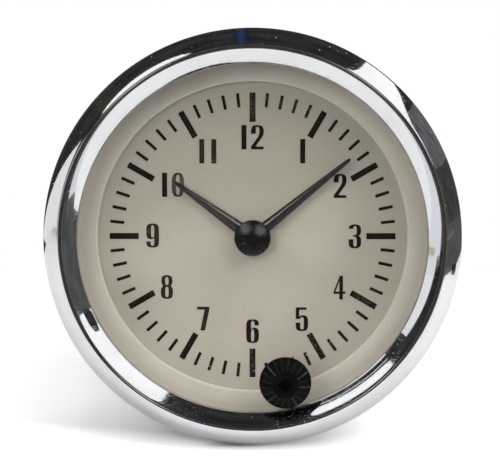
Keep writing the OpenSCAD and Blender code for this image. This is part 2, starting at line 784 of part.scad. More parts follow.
module hour_wheel() color("gold") stood() difference() {
    union() {
        gear(hour_wheel_teeth, hour_mod, hour_phase, wheel_form, hour_wheel_z + hour_wheel_t,
            hour_wheel_t);
        rod(pipe_d, cannon_leaf_z + cannon_leaf_t + play, hour_hand_z);
        rod(pipe_top_d, hour_hand_z, hour_hand_z + hand_t + play);
    }
    rod(pipe_bore, plate_front, cut + glass_top);
    for (i = [1:motion_holes]) rotate(i * 360 / motion_holes) at([hour_hole_at, 0], 0)
        rod(hour_hole_d, hour_wheel_z - cut, dial_back);
}

module minute_wheel() color("gold") stood() at(motion_p, 0) difference() {
    union() {
        gear(minute_wheel_teeth, motion_mod, motion_phase, wheel_form, minute_wheel_z,
            minute_wheel_t);
        gear(minute_leaf_teeth, hour_mod, minute_leaf_phase, leaf_form,
            hour_leaf_z, hour_leaf_z - minute_wheel_z);
    }
    rod(motion_post_d + 2 * run, plate_front, 0);
    for (i = [1:motion_holes]) rotate(i * 360 / motion_holes) at([motion_hole_at, 0], 0)
        rod(motion_hole_d, minute_wheel_z - minute_wheel_t - cut, minute_wheel_z + play);
}

module setting_idler() color("gold") stood() at(idler_p, 0) difference() {
    gear(idler_teeth, motion_mod, idler_phase, wheel_form, minute_wheel_z, minute_wheel_t);
    rod(idler_post_d + 2 * run, plate_front, 0);
}

module stem_collar() color("lightgray") stood() at(stem_p, 0) difference() {
    rod(collar_d, collar_z - collar_t, collar_z);
    rod(tail_d + 2 * run, collar_z - collar_t - cut, collar_z + cut);
}

// Stem through glass, dial and front plate, long enough in its leaves to stay in mesh
module setting_stem() color("lightgray") stood() at(stem_p, 0) {
    rod(stem_d, collar_z, stem_top);
    rod(tail_d, collar_z - tail_l, collar_z);
    gear(stem_teeth, motion_mod, stem_phase, leaf_form, stem_leaf_top, stem_leaf_t);
}

// Tapered knob with flutes down its flank and a square socket in its front
module setting_knob() color("black") stood() at(stem_p, 0) difference() {
    rotate_extrude() polygon(concat(
        [[0, knob_z], [knob_d / 2 - 0.2, knob_z], [knob_d / 2, knob_z + 0.2],
            [knob_d / 2, knob_z + knob_rim]],
        bowed([knob_d / 2, knob_z + knob_rim], [knob_face_d / 2 + 0.1, knob_top], 0.1, 4),
        [[0, knob_top]]));
    rod(stem_d, knob_z - cut, stem_top);
    translate([0, 0, knob_top - socket_depth]) rotate(45) translate([-socket_w / 2, -socket_w / 2, 0])
        cube([socket_w, socket_w, socket_depth + cut]);
    for (i = [0:knob_flutes - 1]) rotate((i + 0.5) * 360 / knob_flutes)
        translate([knob_d / 2 + flute_out, 0, knob_z + 0.75])
            rotate([0, -atan((knob_d - knob_face_d) / 2 / (knob_h - knob_rim)), 0])
                translate([0, 0, -2 * knob_h]) cylinder(d = flute_d, h = 4 * knob_h, $fn = 16);
}

// Coil spring on the stem's tail, between the collar and the rear plate, as one swept tube
spring_top = collar_z - collar_t;
spring_low = train_end;
spring_rings = spring_turns * 10;
function helix(i) = let (t = i / spring_rings, a = 360 * spring_turns * t)
    [spring_r * cos(a), spring_r * sin(a),
        spring_low + wire_d / 2 + t * (spring_top - spring_low - wire_d)];
function wire_ring(i) = let (a = 360 * spring_turns * i / spring_rings, c = helix(i))
    [for (k = [0:5]) c + wire_d / 2 * [cos(a) * cos(60 * k), sin(a) * cos(60 * k), sin(60 * k)]];

module return_spring() color("silver") stood() at(stem_p, 0) polyhedron(
    points = [for (i = [0:spring_rings]) each wire_ring(i)],
    faces = concat([[for (k = [0:5]) k]],
        [for (i = [0:spring_rings - 1], k = [0:5]) let (a = 6 * i, b = (k + 1) % 6)
            each [[a + k, a + 6 + k, a + 6 + b], [a + k, a + 6 + b, a + b]]],
        [[for (k = [5:-1:0]) 6 * spring_rings + k]]));

module centre_wheel() color("gold") stood() difference() {
    union() {
        train_wheel(centre_teeth, 0, level[0], 5);
        rod(centre_hub_d, level[0] - wheel_t - 2 * leaf_over, train_z - play);
    }
    rod(centre_arbor_d + 2 * run, level[0] - 2, train_z + cut);
}

module third_wheel() color("gold") stood() at(third_p, 0) {
    train_arbor();
    leaves(third_leaf_teeth, third_phase, level[0]);
    train_wheel(third_teeth, third_phase, level[1], 5);
}

module fourth_wheel() color("gold") stood() at(fourth_p, 0) {
    train_arbor();
    leaves(fourth_leaf_teeth, fourth_phase, level[1]);
    train_wheel(fourth_teeth, fourth_phase, level[2], 5);
}

module intermediate_wheel() color("gold") stood() at(intermediate_p, 0) {
    train_arbor();
    leaves(intermediate_leaf_teeth, intermediate_phase, level[2]);
    train_wheel(intermediate_teeth, intermediate_phase, level[3], 4);
}

module rotor_pinion() color("ivory") stood() at(rotor_p, 0) {
    train_arbor();
    leaves(rotor_teeth, rotor_phase, level[3]);
}

module rotor_magnet() color("dimgray") stood() at(rotor_p, 0) difference() {
    rod(magnet_d, core_z + stator_t / 2 - magnet_h / 2, core_z + stator_t / 2 + magnet_h / 2);
    rod(arbor_d, train_end, train_z);
}

// U strap over the back of the can, whose legs press on the back of the panel
module clamp_bracket() color("silver") stood() difference() {
    rotate([90, 0, 0]) linear_extrude(strap_w, center = true) difference() {
        union() {
            translate([-leg_x - strap_t, strap_back + strap_bend]) square([2 * (leg_x + strap_t),
                leg_tip - strap_back - strap_bend]);
            bar([-leg_x - strap_t + strap_bend, strap_back + strap_bend],
                [leg_x + strap_t - strap_bend, strap_back + strap_bend], 2 * strap_bend);
        }
        translate([-leg_x, strap_z + strap_bend - strap_t]) square([2 * leg_x, can_l + cut]);
        bar([-leg_x + strap_bend - strap_t, strap_z + strap_bend - strap_t],
            [leg_x - strap_bend + strap_t, strap_z + strap_bend - strap_t],
            2 * (strap_bend - strap_t));
    }
    for (s = [-1, 1]) translate([s * stud_x, 0, strap_back - cut]) linear_extrude(strap_t
        + 2 * cut) bar([-strap_slot / 2, 0], [strap_slot / 2, 0], stud_d + 2 * loose);
}

module clamp_washers() color("lightgray") stood() for (s = [-1, 1])
    translate([s * stud_x, 0, 0]) difference() {
        rod(washer_d, strap_back - washer_t, strap_back);
        rod(stud_d + 2 * slip, strap_back - washer_t - cut, strap_back + cut);
    }

// Knurled nuts with a plain collar against the washer
module thumb_nuts() color("goldenrod") stood() for (s = [-1, 1])
    translate([s * stud_x, 0, strap_back - washer_t]) difference() {
        union() {
            rod(nut_collar_d, -nut_collar, 0);
            translate([0, 0, -nut_h]) linear_extrude(nut_h - nut_collar)
                polygon([for (i = [0:2 * nut_ridges - 1])
                    let (r = nut_d / 2 - (i % 2) * nut_groove, a = i * 180 / nut_ridges)
                    r * [cos(a), sin(a)]]);
        }
        rod(stud_d + 2 * run, -nut_h - cut, cut);
    }

bezel();
glass();
glass_seal();
visor_ring();
dial();
case_can();
movement_carrier();
front_plate();
rear_plate();
plate_pillars();
plate_screws();
motion_posts();
setting_bush();
coil_bobbin();
coil_winding();
coil_core();
stator();
circuit_board();
board_spacers();
control_chip();
quartz_crystal();
board_capacitors();
case_posts();
case_screws();
terminal_insulator();
spade_terminals();
lamp_holder();
lamp_bulb();
mounting_studs();
minute_arbor();
minute_hand();
hub_cap();
hour_wheel();
hour_hand();
minute_wheel();
setting_idler();
stem_collar();
setting_stem();
setting_knob();
return_spring();
centre_wheel();
third_wheel();
fourth_wheel();
intermediate_wheel();
rotor_pinion();
rotor_magnet();
clamp_bracket();
clamp_washers();
thumb_nuts();
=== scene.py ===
import json
import math

import bmesh
import bpy
from mathutils import Matrix, Vector
from mathutils.geometry import tessellate_polygon


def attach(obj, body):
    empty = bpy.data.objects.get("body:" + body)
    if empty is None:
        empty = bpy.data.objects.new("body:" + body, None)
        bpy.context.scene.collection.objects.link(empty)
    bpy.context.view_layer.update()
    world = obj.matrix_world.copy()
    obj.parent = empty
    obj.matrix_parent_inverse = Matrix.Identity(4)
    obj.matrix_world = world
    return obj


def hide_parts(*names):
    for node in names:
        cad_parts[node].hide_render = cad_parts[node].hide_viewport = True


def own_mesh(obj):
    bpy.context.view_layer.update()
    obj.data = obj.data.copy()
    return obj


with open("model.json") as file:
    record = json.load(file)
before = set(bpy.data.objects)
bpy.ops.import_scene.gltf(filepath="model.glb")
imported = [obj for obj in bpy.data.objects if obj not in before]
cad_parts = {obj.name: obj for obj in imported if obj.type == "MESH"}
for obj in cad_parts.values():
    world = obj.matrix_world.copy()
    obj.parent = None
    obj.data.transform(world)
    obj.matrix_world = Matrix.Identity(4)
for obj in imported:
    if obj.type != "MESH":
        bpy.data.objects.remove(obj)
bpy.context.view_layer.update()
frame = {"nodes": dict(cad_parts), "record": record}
NODES = frame["nodes"]


# Bench frame in mm: x to 3 o'clock, y to 12 o'clock, z towards the viewer. Row frame: (x, -z, y) in m.
# Clock angles are in degrees from 12 o'clock, clockwise.
TAU = 2 * math.pi
MM = 0.001              # metres
PER_METRE = 1000
DIAL_TOP = -0.7
MINUTE_ANGLE = 51
HOUR_ANGLE = 305.5


def row(x, y, z):
    """Point in the row frame, in metres, from a point in the bench frame."""
    return Vector((x, -z, y)) * MM


def dial_xy(r, clock):
    """Point on a circle round the clock's axis."""
    a = math.radians(clock)
    return r * math.sin(a), r * math.cos(a)


STEM = dial_xy(20.9, 167)


# Outlines: lists of points in mm


def arc(c, r, a0, a1, n):
    """Arc round c from angle a0 to a1, in degrees from the first axis."""
    angles = [math.radians(a0 + (a1 - a0) * i / n) for i in range(n + 1)]
    return [(c[0] + r * math.cos(a), c[1] + r * math.sin(a)) for a in angles]


def bowed(p, q, sag, n):
    """Curve from p to q that stands sag mm off the straight line, to the right of it."""
    dx, dy = q[0] - p[0], q[1] - p[1]
    length = math.hypot(dx, dy)
    side = (dy / length, -dx / length)
    out = []
    for i in range(n + 1):
        t = i / n
        s = 4 * sag * t * (1 - t)
        out.append((p[0] + dx * t + side[0] * s, p[1] + dy * t + side[1] * s))
    return out


def smooth_outline(points, steps=7):
    """Closed curve through (x, y) points; a third value marks a corner."""
    n = len(points)
    out = []
    for i in range(n):
        p0, p1, p2, p3 = (points[(i + k - 1) % n] for k in range(4))
        corner1, corner2 = len(p1) > 2, len(p2) > 2
        out.append((p1[0], p1[1]))
        if corner1 and corner2:
            continue
        a = p1 if corner1 else p0
        d = p2 if corner2 else p3
        for s in range(1, steps):
            t = s / steps
            out.append(tuple(0.5 * (2 * p1[k] + (p2[k] - a[k]) * t
                                    + (2 * a[k] - 5 * p1[k] + 4 * p2[k] - d[k]) * t * t
                                    + (3 * p1[k] - a[k] - 3 * p2[k] + d[k]) * t ** 3)
                             for k in range(2)))
    return out


def oval(cx, cy, w, h, power, n=40):
    """Oval of width w and height h; more power makes it squarer."""
    out = []
    for i in range(n):
        a = TAU * i / n
        c, s = math.cos(a), math.sin(a)
        out.append((cx + w / 2 * math.copysign(abs(c) ** (2 / power), c),
                    cy + h / 2 * math.copysign(abs(s) ** (2 / power), s)))
    return out


# Meshes


def to_object(name, bm, sharp=32):
    """Object from a bmesh, smooth apart from edges of more than sharp degrees."""
    bmesh.ops.recalc_face_normals(bm, faces=bm.faces)
    mesh = bpy.data.meshes.new(name)
    bm.to_mesh(mesh)
    bm.free()
    mesh.shade_smooth()
    mesh.set_sharp_from_angle(angle=math.radians(sharp))
    obj = bpy.data.objects.new(name, mesh)
    bpy.context.scene.collection.objects.link(obj)
    return obj


def lathe(name, profile, segs, sharp):
    """Solid of revolution round the clock's axis from a closed profile of (radius, z)."""
    bm = bmesh.new()
    rings = []
    for r, z in profile:
        if r < 1e-6:
            rings.append([bm.verts.new(row(0, 0, z))])
        else:
            rings.append([bm.verts.new(row(r * math.sin(TAU * k / segs), r * math.cos(TAU * k / segs), z))
                          for k in range(segs)])
    for i, a in enumerate(rings):
        b = rings[(i + 1) % len(rings)]
        if len(a) == 1 and len(b) == 1:
            continue
        for k in range(segs):
            k2 = (k + 1) % segs
            corner = [a[k % len(a)], a[k2 % len(a)], b[k2 % len(b)], b[k % len(b)]]
            face = []
            for v in corner:
                if v not in face:
                    face.append(v)
            bm.faces.new(face)
    return to_object(name, bm, sharp)


def join(bm, ring, other):
    """Faces between two closed rings with the same number of points."""
    n = len(ring)
    for k in range(n):
        bm.faces.new((ring[k], ring[(k + 1) % n], other[(k + 1) % n], other[k]))


def slab(bm, outlines, z0, z1):
    """Thin closed plate: the first outline is the rim, the others are holes."""
    flat = [p for line in outlines for p in line]
    low = [bm.verts.new(row(p[0], p[1], z0)) for p in flat]
    high = [bm.verts.new(row(p[0], p[1], z1)) for p in flat]
    for tri in tessellate_polygon([[Vector((p[0], p[1], 0)) for p in line] for line in outlines]):
        bm.faces.new([high[i] for i in tri])
        bm.faces.new([low[i] for i in reversed(tri)])
    start = 0
    for line in outlines:
        n = len(line)
        for i in range(n):
            a, b = start + i, start + (i + 1) % n
            bm.faces.new((low[a], low[b], high[b], high[a]))
        start += n


# Materials, all of them made of nodes


WAVES_PER_SCALE = 3.14      # about the waves to the mm that a wave texture makes at scale 1


class Look:
    """A node material in the object's own coordinates, in millimetres."""

    def __init__(self, name, color, rough, metal=0.0, sockets=()):
        self.material = bpy.data.materials.new(name)
        self.material.use_nodes = True
        self.tree = self.material.node_tree
        self.tree.nodes.clear()
        out = self.tree.nodes.new("ShaderNodeOutputMaterial")
        self.shader = self.tree.nodes.new("ShaderNodeBsdfPrincipled")
        self.tree.links.new(self.shader.outputs[0], out.inputs["Surface"])
        self.shader.inputs["Base Color"].default_value = (*color, 1)
        self.shader.inputs["Roughness"].default_value = rough
        self.shader.inputs["Metallic"].default_value = metal
        for key, value in sockets:
            self.shader.inputs[key].default_value = value
        self.color = color
        coord = self.tree.nodes.new("ShaderNodeTexCoord")
        self.coord = coord.outputs["Object"]
        self.bumps = None

    def place(self, scale=(1, 1, 1), shift=(0, 0, 0)):
        """Coordinates in mm, times scale and then moved by shift."""
        node = self.tree.nodes.new("ShaderNodeMapping")
        node.inputs["Scale"].default_value = [PER_METRE * s for s in scale]
        node.inputs["Location"].default_value = shift
        self.tree.links.new(self.coord, node.inputs["Vector"])
        return node.outputs[0]

    def noise(self, per_mm, detail, rough=0.5, scale=(1, 1, 1), distort=0):
        node = self.tree.nodes.new("ShaderNodeTexNoise")
        node.inputs["Scale"].default_value = per_mm
        node.inputs["Detail"].default_value = detail
        node.inputs["Roughness"].default_value = rough
        node.inputs["Distortion"].default_value = distort
        self.tree.links.new(self.place(scale), node.inputs["Vector"])
        return node.outputs["Fac"]

    def specks(self, per_mm, size, shift):
        """1 in small grains, per_mm of them to the mm, 0 between them."""
        node = self.tree.nodes.new("ShaderNodeTexVoronoi")
        node.inputs["Scale"].default_value = per_mm
        self.tree.links.new(self.place(shift=shift), node.inputs["Vector"])
        return self.ramp(node.outputs["Distance"], size, size * 0.6)

    def spot(self, centre, r0, r1, scale=(1, 1, 1)):
        """1 within r0 mm of a point, 0 beyond r1 mm, all measured after scale."""
        node = self.tree.nodes.new("ShaderNodeVectorMath")
        node.operation = "DISTANCE"
        self.tree.links.new(self.place(scale), node.inputs[0])
        node.inputs[1].default_value = centre
        return self.ramp(node.outputs["Value"], r0, r1, 1, 0)

    def spots(self, places, y=0.0):
        """Union of soft spots at (x, z, reach) in mm, in the plane at depth y."""
        mask = None
        for x, z, reach in places:
            one = self.spot((x, y, z), reach * 0.4, reach)
            mask = one if mask is None else self.math("MAXIMUM", mask, one)
        return mask

    def axis(self, which):
        """One coordinate in mm."""
        node = self.tree.nodes.new("ShaderNodeSeparateXYZ")
        self.tree.links.new(self.place(), node.inputs[0])
        return node.outputs[which]

    def sweeps(self, clocks, width):
        """Mask for painted sheen: lighter rays that fan out from the centre at clock angles."""
        mask = None
        for clock in clocks:
            flat = self.tree.nodes.new("ShaderNodeVectorMath")
            flat.operation = "NORMALIZE"
            self.tree.links.new(self.place((1, 0, 1)), flat.inputs[0])
            far = self.tree.nodes.new("ShaderNodeVectorMath")
            far.operation = "DISTANCE"
            self.tree.links.new(flat.outputs[0], far.inputs[0])
            x, z = dial_xy(1, clock)
            far.inputs[1].default_value = (x, 0, z)
            one = self.ramp(far.outputs["Value"], 0, math.radians(width), 1, 0)
            mask = one if mask is None else self.math("MAXIMUM", mask, one)
        return mask

    def waves(self, kind, per_mm, distort):
        """Waves as RINGS round the Y axis, or as BANDS along it."""
        node = self.tree.nodes.new("ShaderNodeTexWave")
        node.wave_type = kind
        node.rings_direction = "Y"
        node.bands_direction = "Y"
        node.inputs["Scale"].default_value = per_mm
        node.inputs["Distortion"].default_value = distort
        node.inputs["Detail"].default_value = 2
        node.inputs["Detail Scale"].default_value = 3
        self.tree.links.new(self.place(), node.inputs["Vector"])
        return node.outputs["Fac"]

    def ramp(self, value, at0, at1, to0=0.0, to1=1.0):
        """Takes at0 to to0 and at1 to to1, straight between them and level beyond."""
        node = self.tree.nodes.new("ShaderNodeMapRange")
        node.clamp = True
        for socket, number in (("From Min", at0), ("From Max", at1), ("To Min", to0), ("To Max", to1)):
            node.inputs[socket].default_value = number
        self.tree.links.new(value, node.inputs["Value"])
        return node.outputs["Result"]

    def math(self, how, a, b):
        node = self.tree.nodes.new("ShaderNodeMath")
        node.operation = how
        for i, value in enumerate((a, b)):
            if isinstance(value, (int, float)):
                node.inputs[i].default_value = value
            else:
                self.tree.links.new(value, node.inputs[i])
        return node.outputs[0]

    def tint(self, factor, other):
        """Mixes another colour over the base colour where factor is 1."""
        socket = self.shader.inputs["Base Color"]
        node = self.tree.nodes.new("ShaderNodeMix")
        node.data_type = "RGBA"
        first, second = node.inputs[6], node.inputs[7]      # the two colours, in a Mix node of colours
        if socket.links:
            self.tree.links.new(socket.links[0].from_socket, first)
        else:
            first.default_value = (*self.color, 1)
        second.default_value = (*other, 1)
        self.tree.links.new(factor, node.inputs[0])
        self.tree.links.new(node.outputs[2], socket)

    def drive(self, socket, value):
        self.tree.links.new(value, self.shader.inputs[socket])

    def vary_rough(self, value, low, high):
        """Roughness from low to high as a noise goes from 0.3 to 0.7."""
        self.drive("Roughness", self.ramp(value, 0.3, 0.7, low, high))

    def bump(self, height, depth, strength=1.0):
        """Fine relief, depth mm deep, on top of the bumps so far."""
        node = self.tree.nodes.new("ShaderNodeBump")
        node.inputs["Distance"].default_value = depth * MM
        node.inputs["Strength"].default_value = strength
        self.tree.links.new(height, node.inputs["Height"])
        if self.bumps:
            self.tree.links.new(self.bumps, node.inputs["Normal"])
        self.bumps = node.outputs[0]
        self.tree.links.new(self.bumps, self.shader.inputs["Normal"])


def moulded(name, color, rough, grain=0.004):
    """Moulded plastic, rubber or resin with a fine grain."""
    look = Look(name, color, rough)
    look.tint(look.ramp(look.noise(0.35, 4), 0.35, 0.75), [c * 0.86 for c in color])
    look.vary_rough(look.noise(1.6, 4), rough * 0.85, rough * 1.2)
    look.bump(look.noise(7, 2), grain)
    return look


def plated(name, color, rough, stretch=(1, 1, 1), grain=0.003):
    """Plated or coated metal, with marks that are narrow along the axis that stretch enlarges."""
    look = Look(name, color, rough, metal=0.55)
    look.tint(look.ramp(look.noise(0.5, 5), 0.4, 0.8), [c * 0.8 for c in color])
    fine = look.noise(3, 3, scale=stretch)
    look.vary_rough(fine, rough * 0.8, rough * 1.3)
    look.bump(fine, grain)
    return look


def turned(name, color, rough, per_mm=2.2):
    """Metal with turning marks round the clock's axis."""
    look = Look(name, color, rough, metal=1.0)
    look.tint(look.ramp(look.noise(0.6, 4), 0.35, 0.8), [c * 0.82 for c in color])
    lines = look.waves("RINGS", per_mm, 0.6)
    look.drive("Roughness", look.ramp(lines, 0, 1, rough * 0.8, rough * 1.25))
    look.bump(lines, 0.003)
    return look


def chrome_look():
    look = Look("chrome_plate", (0.71, 0.72, 0.735), 0.035, metal=1.0)
    haze = look.noise(0.22, 5, 0.6)
    look.tint(look.ramp(haze, 0.45, 0.8), (0.65, 0.655, 0.67))
    pits = look.specks(0.55, 0.055, (3, 1, 7))
    grit = look.specks(1.1, 0.05, (9, 4, 2))
    dust = look.math("MULTIPLY", look.math("MAXIMUM", pits, grit), 0.7)
    under_knob = look.spots([(6.5, -25.7, 5)], y=-4)
    low_arc = look.spots([(-10, -26, 7), (-20, -19, 5), (22, -17, 5)], y=-3.5)
    low = look.math("MAXIMUM", under_knob, look.math("MULTIPLY", low_arc, 0.45))
    crumbs = look.math("MULTIPLY", look.specks(2.9, 0.15, (6, 2, 5)), look.math("MULTIPLY", low, 0.8))
    dust = look.math("MAXIMUM", dust, crumbs)
    look.tint(dust, (0.85, 0.85, 0.84))
    look.drive("Metallic", look.math("SUBTRACT", 1.0, dust))
    wear = look.ramp(look.noise(0.8, 5, 0.65), 0.35, 0.75, 0.02, 0.085)
    look.drive("Roughness", look.math("MAXIMUM", wear, look.math("MULTIPLY", dust, 0.6)))
    scratch = look.noise(0.9, 4, 0.7, scale=(1, 1, 9), distort=0.4)
    look.bump(look.ramp(scratch, 0.58, 0.62), 0.0006)
    look.bump(look.noise(0.12, 2), 0.012)
    return look


def glass_look():
    look = Look("window_glass", (0.93, 0.95, 0.95), 0.02, metal=1.0)
    smear = look.ramp(look.noise(0.11, 5, 0.62), 0.45, 0.85, 0.022, 0.038)
    dusty = look.spots([(13, -15, 9), (17.5, -9, 6), (18, 2, 5)], y=2.4)
    thick = look.math("MULTIPLY", look.specks(1.3, 0.1, (5, 0, 3)), dusty)
    dust = look.math("MAXIMUM", look.specks(0.5, 0.07, (1, 0, 8)), thick)
    wear = look.ramp(look.noise(0.55, 5, 0.75, scale=(1, 1, 14), distort=0.6), 0.64, 0.68)
    marks = look.math("MAXIMUM", look.math("MULTIPLY", dust, 0.8), look.math("MULTIPLY", wear, 0.12))
    look.drive("Alpha", look.math("MAXIMUM", smear, look.math("MULTIPLY", marks, 0.38)))
    look.drive("Metallic", look.ramp(marks, 0, 0.1, 1, 0))
    look.drive("Roughness", look.ramp(marks, 0, 0.1, 0.02, 0.6))
    look.bump(look.noise(0.4, 2), 0.0008)
    return look


def dial_look():
    look = Look("dial_paint", (0.40, 0.366, 0.305), 0.5, sockets=[("Specular IOR Level", 0.35)])
    # painted shade: the dial darker towards the top
    look.tint(look.ramp(look.axis("Z"), -14, 16), (0.355, 0.328, 0.268))
    # painted sheen: lighter rays from the centre
    look.tint(look.math("MULTIPLY", look.sweeps((97, 190, 251), 24), 0.75), (0.46, 0.425, 0.355))
    # painted light near the centre and lower middle, painted shade at places near the rim
    painted_light_pool = look.spots([(-3, -9, 17), (9, 1, 9), (-10, -4, 10)])
    look.tint(look.math("MULTIPLY", painted_light_pool, 0.8), (0.475, 0.438, 0.366))
    painted_shade_pool = look.spots([(19, -3, 9), (-19.5, -10, 7), (13, 15, 8)])
    look.tint(look.math("MULTIPLY", painted_shade_pool, 0.7), (0.335, 0.308, 0.252))
    look.tint(look.ramp(look.noise(0.08, 3), 0.4, 0.7, 0, 0.5), (0.385, 0.35, 0.28))
    look.tint(look.ramp(look.noise(6, 4, 0.7), 0.55, 0.8, 0, 0.7), (0.36, 0.33, 0.272))
    look.vary_rough(look.noise(3, 4), 0.42, 0.58)
    look.bump(look.noise(9, 3, 0.6), 0.003)
    return look


def visor_look():
    flat = (1, 0, 1)        # distances from the axis, at any depth
    look = Look("visor_moulding", (0.37, 0.338, 0.282), 0.42, sockets=[("Specular IOR Level", 0.4)])
    # painted shade: the slope darker outwards, towards the bezel, lighter inwards
    look.tint(look.spot((0, 0, 0), 23.1, 24.5, scale=flat), (0.51, 0.473, 0.405))
    look.tint(look.ramp(look.noise(0.09, 4), 0.45, 0.75, 0, 0.45), (0.375, 0.343, 0.287))
    look.tint(look.spot((0, 0, 0), 22.68, 22.82, scale=flat), (0.55, 0.515, 0.445))     # painted highlight: a thin lighter ring along the lip
    look.tint(look.specks(0.6, 0.05, (2, 5, 1)), (0.60, 0.57, 0.50))
    look.vary_rough(look.noise(1.2, 4), 0.36, 0.5)
    look.bump(look.noise(5, 3), 0.002)
    return look


def print_look():
    """Black ink with a painted brownish reflection over some numerals and marks, and rubbed places, both
    where the photograph shows them.
    """
    ink_y = -DIAL_TOP
    look = Look("black_print", (0.006, 0.0045, 0.003), 0.5, sockets=[("Specular IOR Level", 0.12)])
    # painted reflection: a brownish tint over the left numerals and the marks near 12 and 1
    painted_brown_reflection = look.spots([(-6.45, 12.3, 3.6), (-10.6, 7.3, 1.9), (-14.5, 0, 3.6), (-12.4, -7.4, 3.6),
                        (0, 18.8, 2.4), (4.0, 18.4, 2.6), (-7.2, -12.1, 3.0)], y=ink_y)
    patch = look.ramp(look.noise(0.8, 3), 0.3, 0.6, 0.35, 1)
    look.tint(look.math("MULTIPLY", painted_brown_reflection, patch), (0.036, 0.019, 0.013))
    # painted reflection, paler, over the 0 of 10
    painted_pale_reflection = look.spots([(-10.3, 7.7, 2.1)], y=ink_y)
    look.tint(look.math("MULTIPLY", painted_pale_reflection, patch), (0.11, 0.078, 0.058))
    chip = look.ramp(look.noise(3.2, 4, 0.7), 0.5, 0.62)
    rubbed = look.spots([(0, -18.6, 4.5), (9.5, -16.5, 4), (16.5, -9.5, 3), (1, 19, 3), (7, 18, 3)],
                        y=ink_y)
    look.tint(look.math("MULTIPLY", chip, look.ramp(rubbed, 0, 1, 0.12, 0.75)), (0.085, 0.078, 0.066))
    look.vary_rough(look.noise(4, 3), 0.42, 0.6)
    look.bump(look.noise(10, 2), 0.002)
    return look


def threaded(name, color, rough, pitch):
    look = plated(name, color, rough)
    look.shader.inputs["Metallic"].default_value = 0.95
    thread = look.waves("BANDS", 1 / pitch / WAVES_PER_SCALE, 0)
    look.bump(thread, 0.14, 0.9)
    return look


def lacquer(name, color, rough, sockets, painted_light_places=(), tone=(0, 0, 0), grain=0.04, wave=0.0006, depth=0.2):
    """Glossy black with dust, and with painted light of another tone at the given places and depth:
    painted highlights on the cap, a painted reflection on the hour hand.
    """
    look = Look(name, color, rough, sockets=sockets)
    look.tint(look.ramp(look.noise(0.9, 3), 0.4, 0.8), [c * 1.5 for c in color])
    # painted light of another tone at the given places
    if painted_light_places:
        patch = look.ramp(look.noise(0.7, 3), 0.25, 0.6, 0.3, 1)
        look.tint(look.math("MULTIPLY", look.spots(painted_light_places, y=depth), patch), tone)
    look.tint(look.specks(1.7, grain, (4, 2, 6)), (0.09, 0.09, 0.09))
    look.vary_rough(look.noise(2.2, 4), rough * 0.85, rough * 1.3)
    look.bump(look.noise(1.5, 3), wave)
    return look


def knob_look():
    look = Look("knob_moulding", (0.0022, 0.0022, 0.0025), 0.4, sockets=[("Specular IOR Level", 0.08)])
    look.tint(look.specks(1.3, 0.04, (1, 3, 2)), (0.05, 0.05, 0.05))
    look.tint(look.ramp(look.noise(0.9, 4), 0.45, 0.8), (0.006, 0.005, 0.005))
    look.vary_rough(look.noise(2, 4), 0.34, 0.5)
    look.bump(look.noise(6, 2), 0.002)
    return look


# painted highlight: a lighter tone for the crest faces of the knob's ribs
def rib_look(name, tone):
    look = Look(name, (tone, tone, tone * 1.1), 0.4, sockets=[("Specular IOR Level", 0.2)])
    look.tint(look.ramp(look.noise(1.8, 3), 0.4, 0.65), (tone * 0.3, tone * 0.3, tone * 0.33))
    look.vary_rough(look.noise(3, 3), 0.32, 0.5)
    return look


GLOSSY = [("Specular IOR Level", 1.0), ("IOR", 2.2)]
LOOKS = {
    "bezel_chrome": chrome_look(),
    "glass": glass_look(),
    "rubber": moulded("seal_rubber", (0.03, 0.03, 0.03), 0.7, 0.01),
    "cream_plastic": visor_look(),
    "dial_paint": dial_look(),
    "can_steel": plated("can_lacquer", (0.32, 0.32, 0.31), 0.42, (1, 8, 1), 0.004),
    "white_plastic": moulded("natural_moulding", (0.80, 0.78, 0.72), 0.45),
    "brass": turned("turned_brass", (0.76, 0.58, 0.28), 0.28),
    "bright_steel": turned("turned_steel", (0.66, 0.66, 0.66), 0.22),
    "black_plastic": moulded("black_moulding", (0.028, 0.028, 0.03), 0.42, 0.008),
    "green_plastic": moulded("green_moulding", (0.10, 0.33, 0.20), 0.4),
    "copper_wire": turned("enamelled_wire", (0.60, 0.24, 0.09), 0.25, 6),
    "soft_iron": plated("plated_iron", (0.46, 0.47, 0.49), 0.35, (8, 1, 1)),
    "board_laminate": moulded("board_lacquer", (0.06, 0.24, 0.10), 0.25, 0.01),
    "capacitor_body": moulded("dipped_resin", (0.60, 0.29, 0.10), 0.3, 0.02),
    "zinc_steel": plated("zinc_plate", (0.62, 0.62, 0.58), 0.3, (1, 6, 1), 0.005),
    "tinned_brass": plated("tinned_blade", (0.68, 0.66, 0.60), 0.25, (6, 1, 1), 0.004),
    "bulb_glass": Look("lamp_glass", (0.95, 0.95, 0.92), 0.04, sockets=[("Alpha", 0.4)]),
    "black_lacquer": lacquer("hand_lacquer", (0.007, 0.007, 0.007), 0.13, GLOSSY),
    # cap: painted highlights at its upper left and upper right
    "black_gloss": lacquer("cap_gloss", (0.0035, 0.0035, 0.004), 0.26, [("Specular IOR Level", 0.9)],
                           [(-1.0, 1.5, 1.15), (1.15, 1.2, 1.05)], (0.08, 0.082, 0.087),
                           grain=0.02, wave=0.0002, depth=-1.1),
    "knob_plastic": knob_look(),
    "magnet": plated("sintered_magnet", (0.25, 0.25, 0.27), 0.5, (1, 1, 1), 0.008),
}
bulb = LOOKS["bulb_glass"]
bulb.vary_rough(bulb.noise(1.5, 3), 0.03, 0.12)
# hour hand: painted brownish reflection along its middle
HOUR_LOOK = lacquer("hour_lacquer", (0.007, 0.007, 0.007), 0.13, GLOSSY,
                    [(-6.2, 3.6, 3.0), (-4.0, 2.3, 2.0), (-8.6, 5.6, 2.0)], (0.05, 0.026, 0.022))
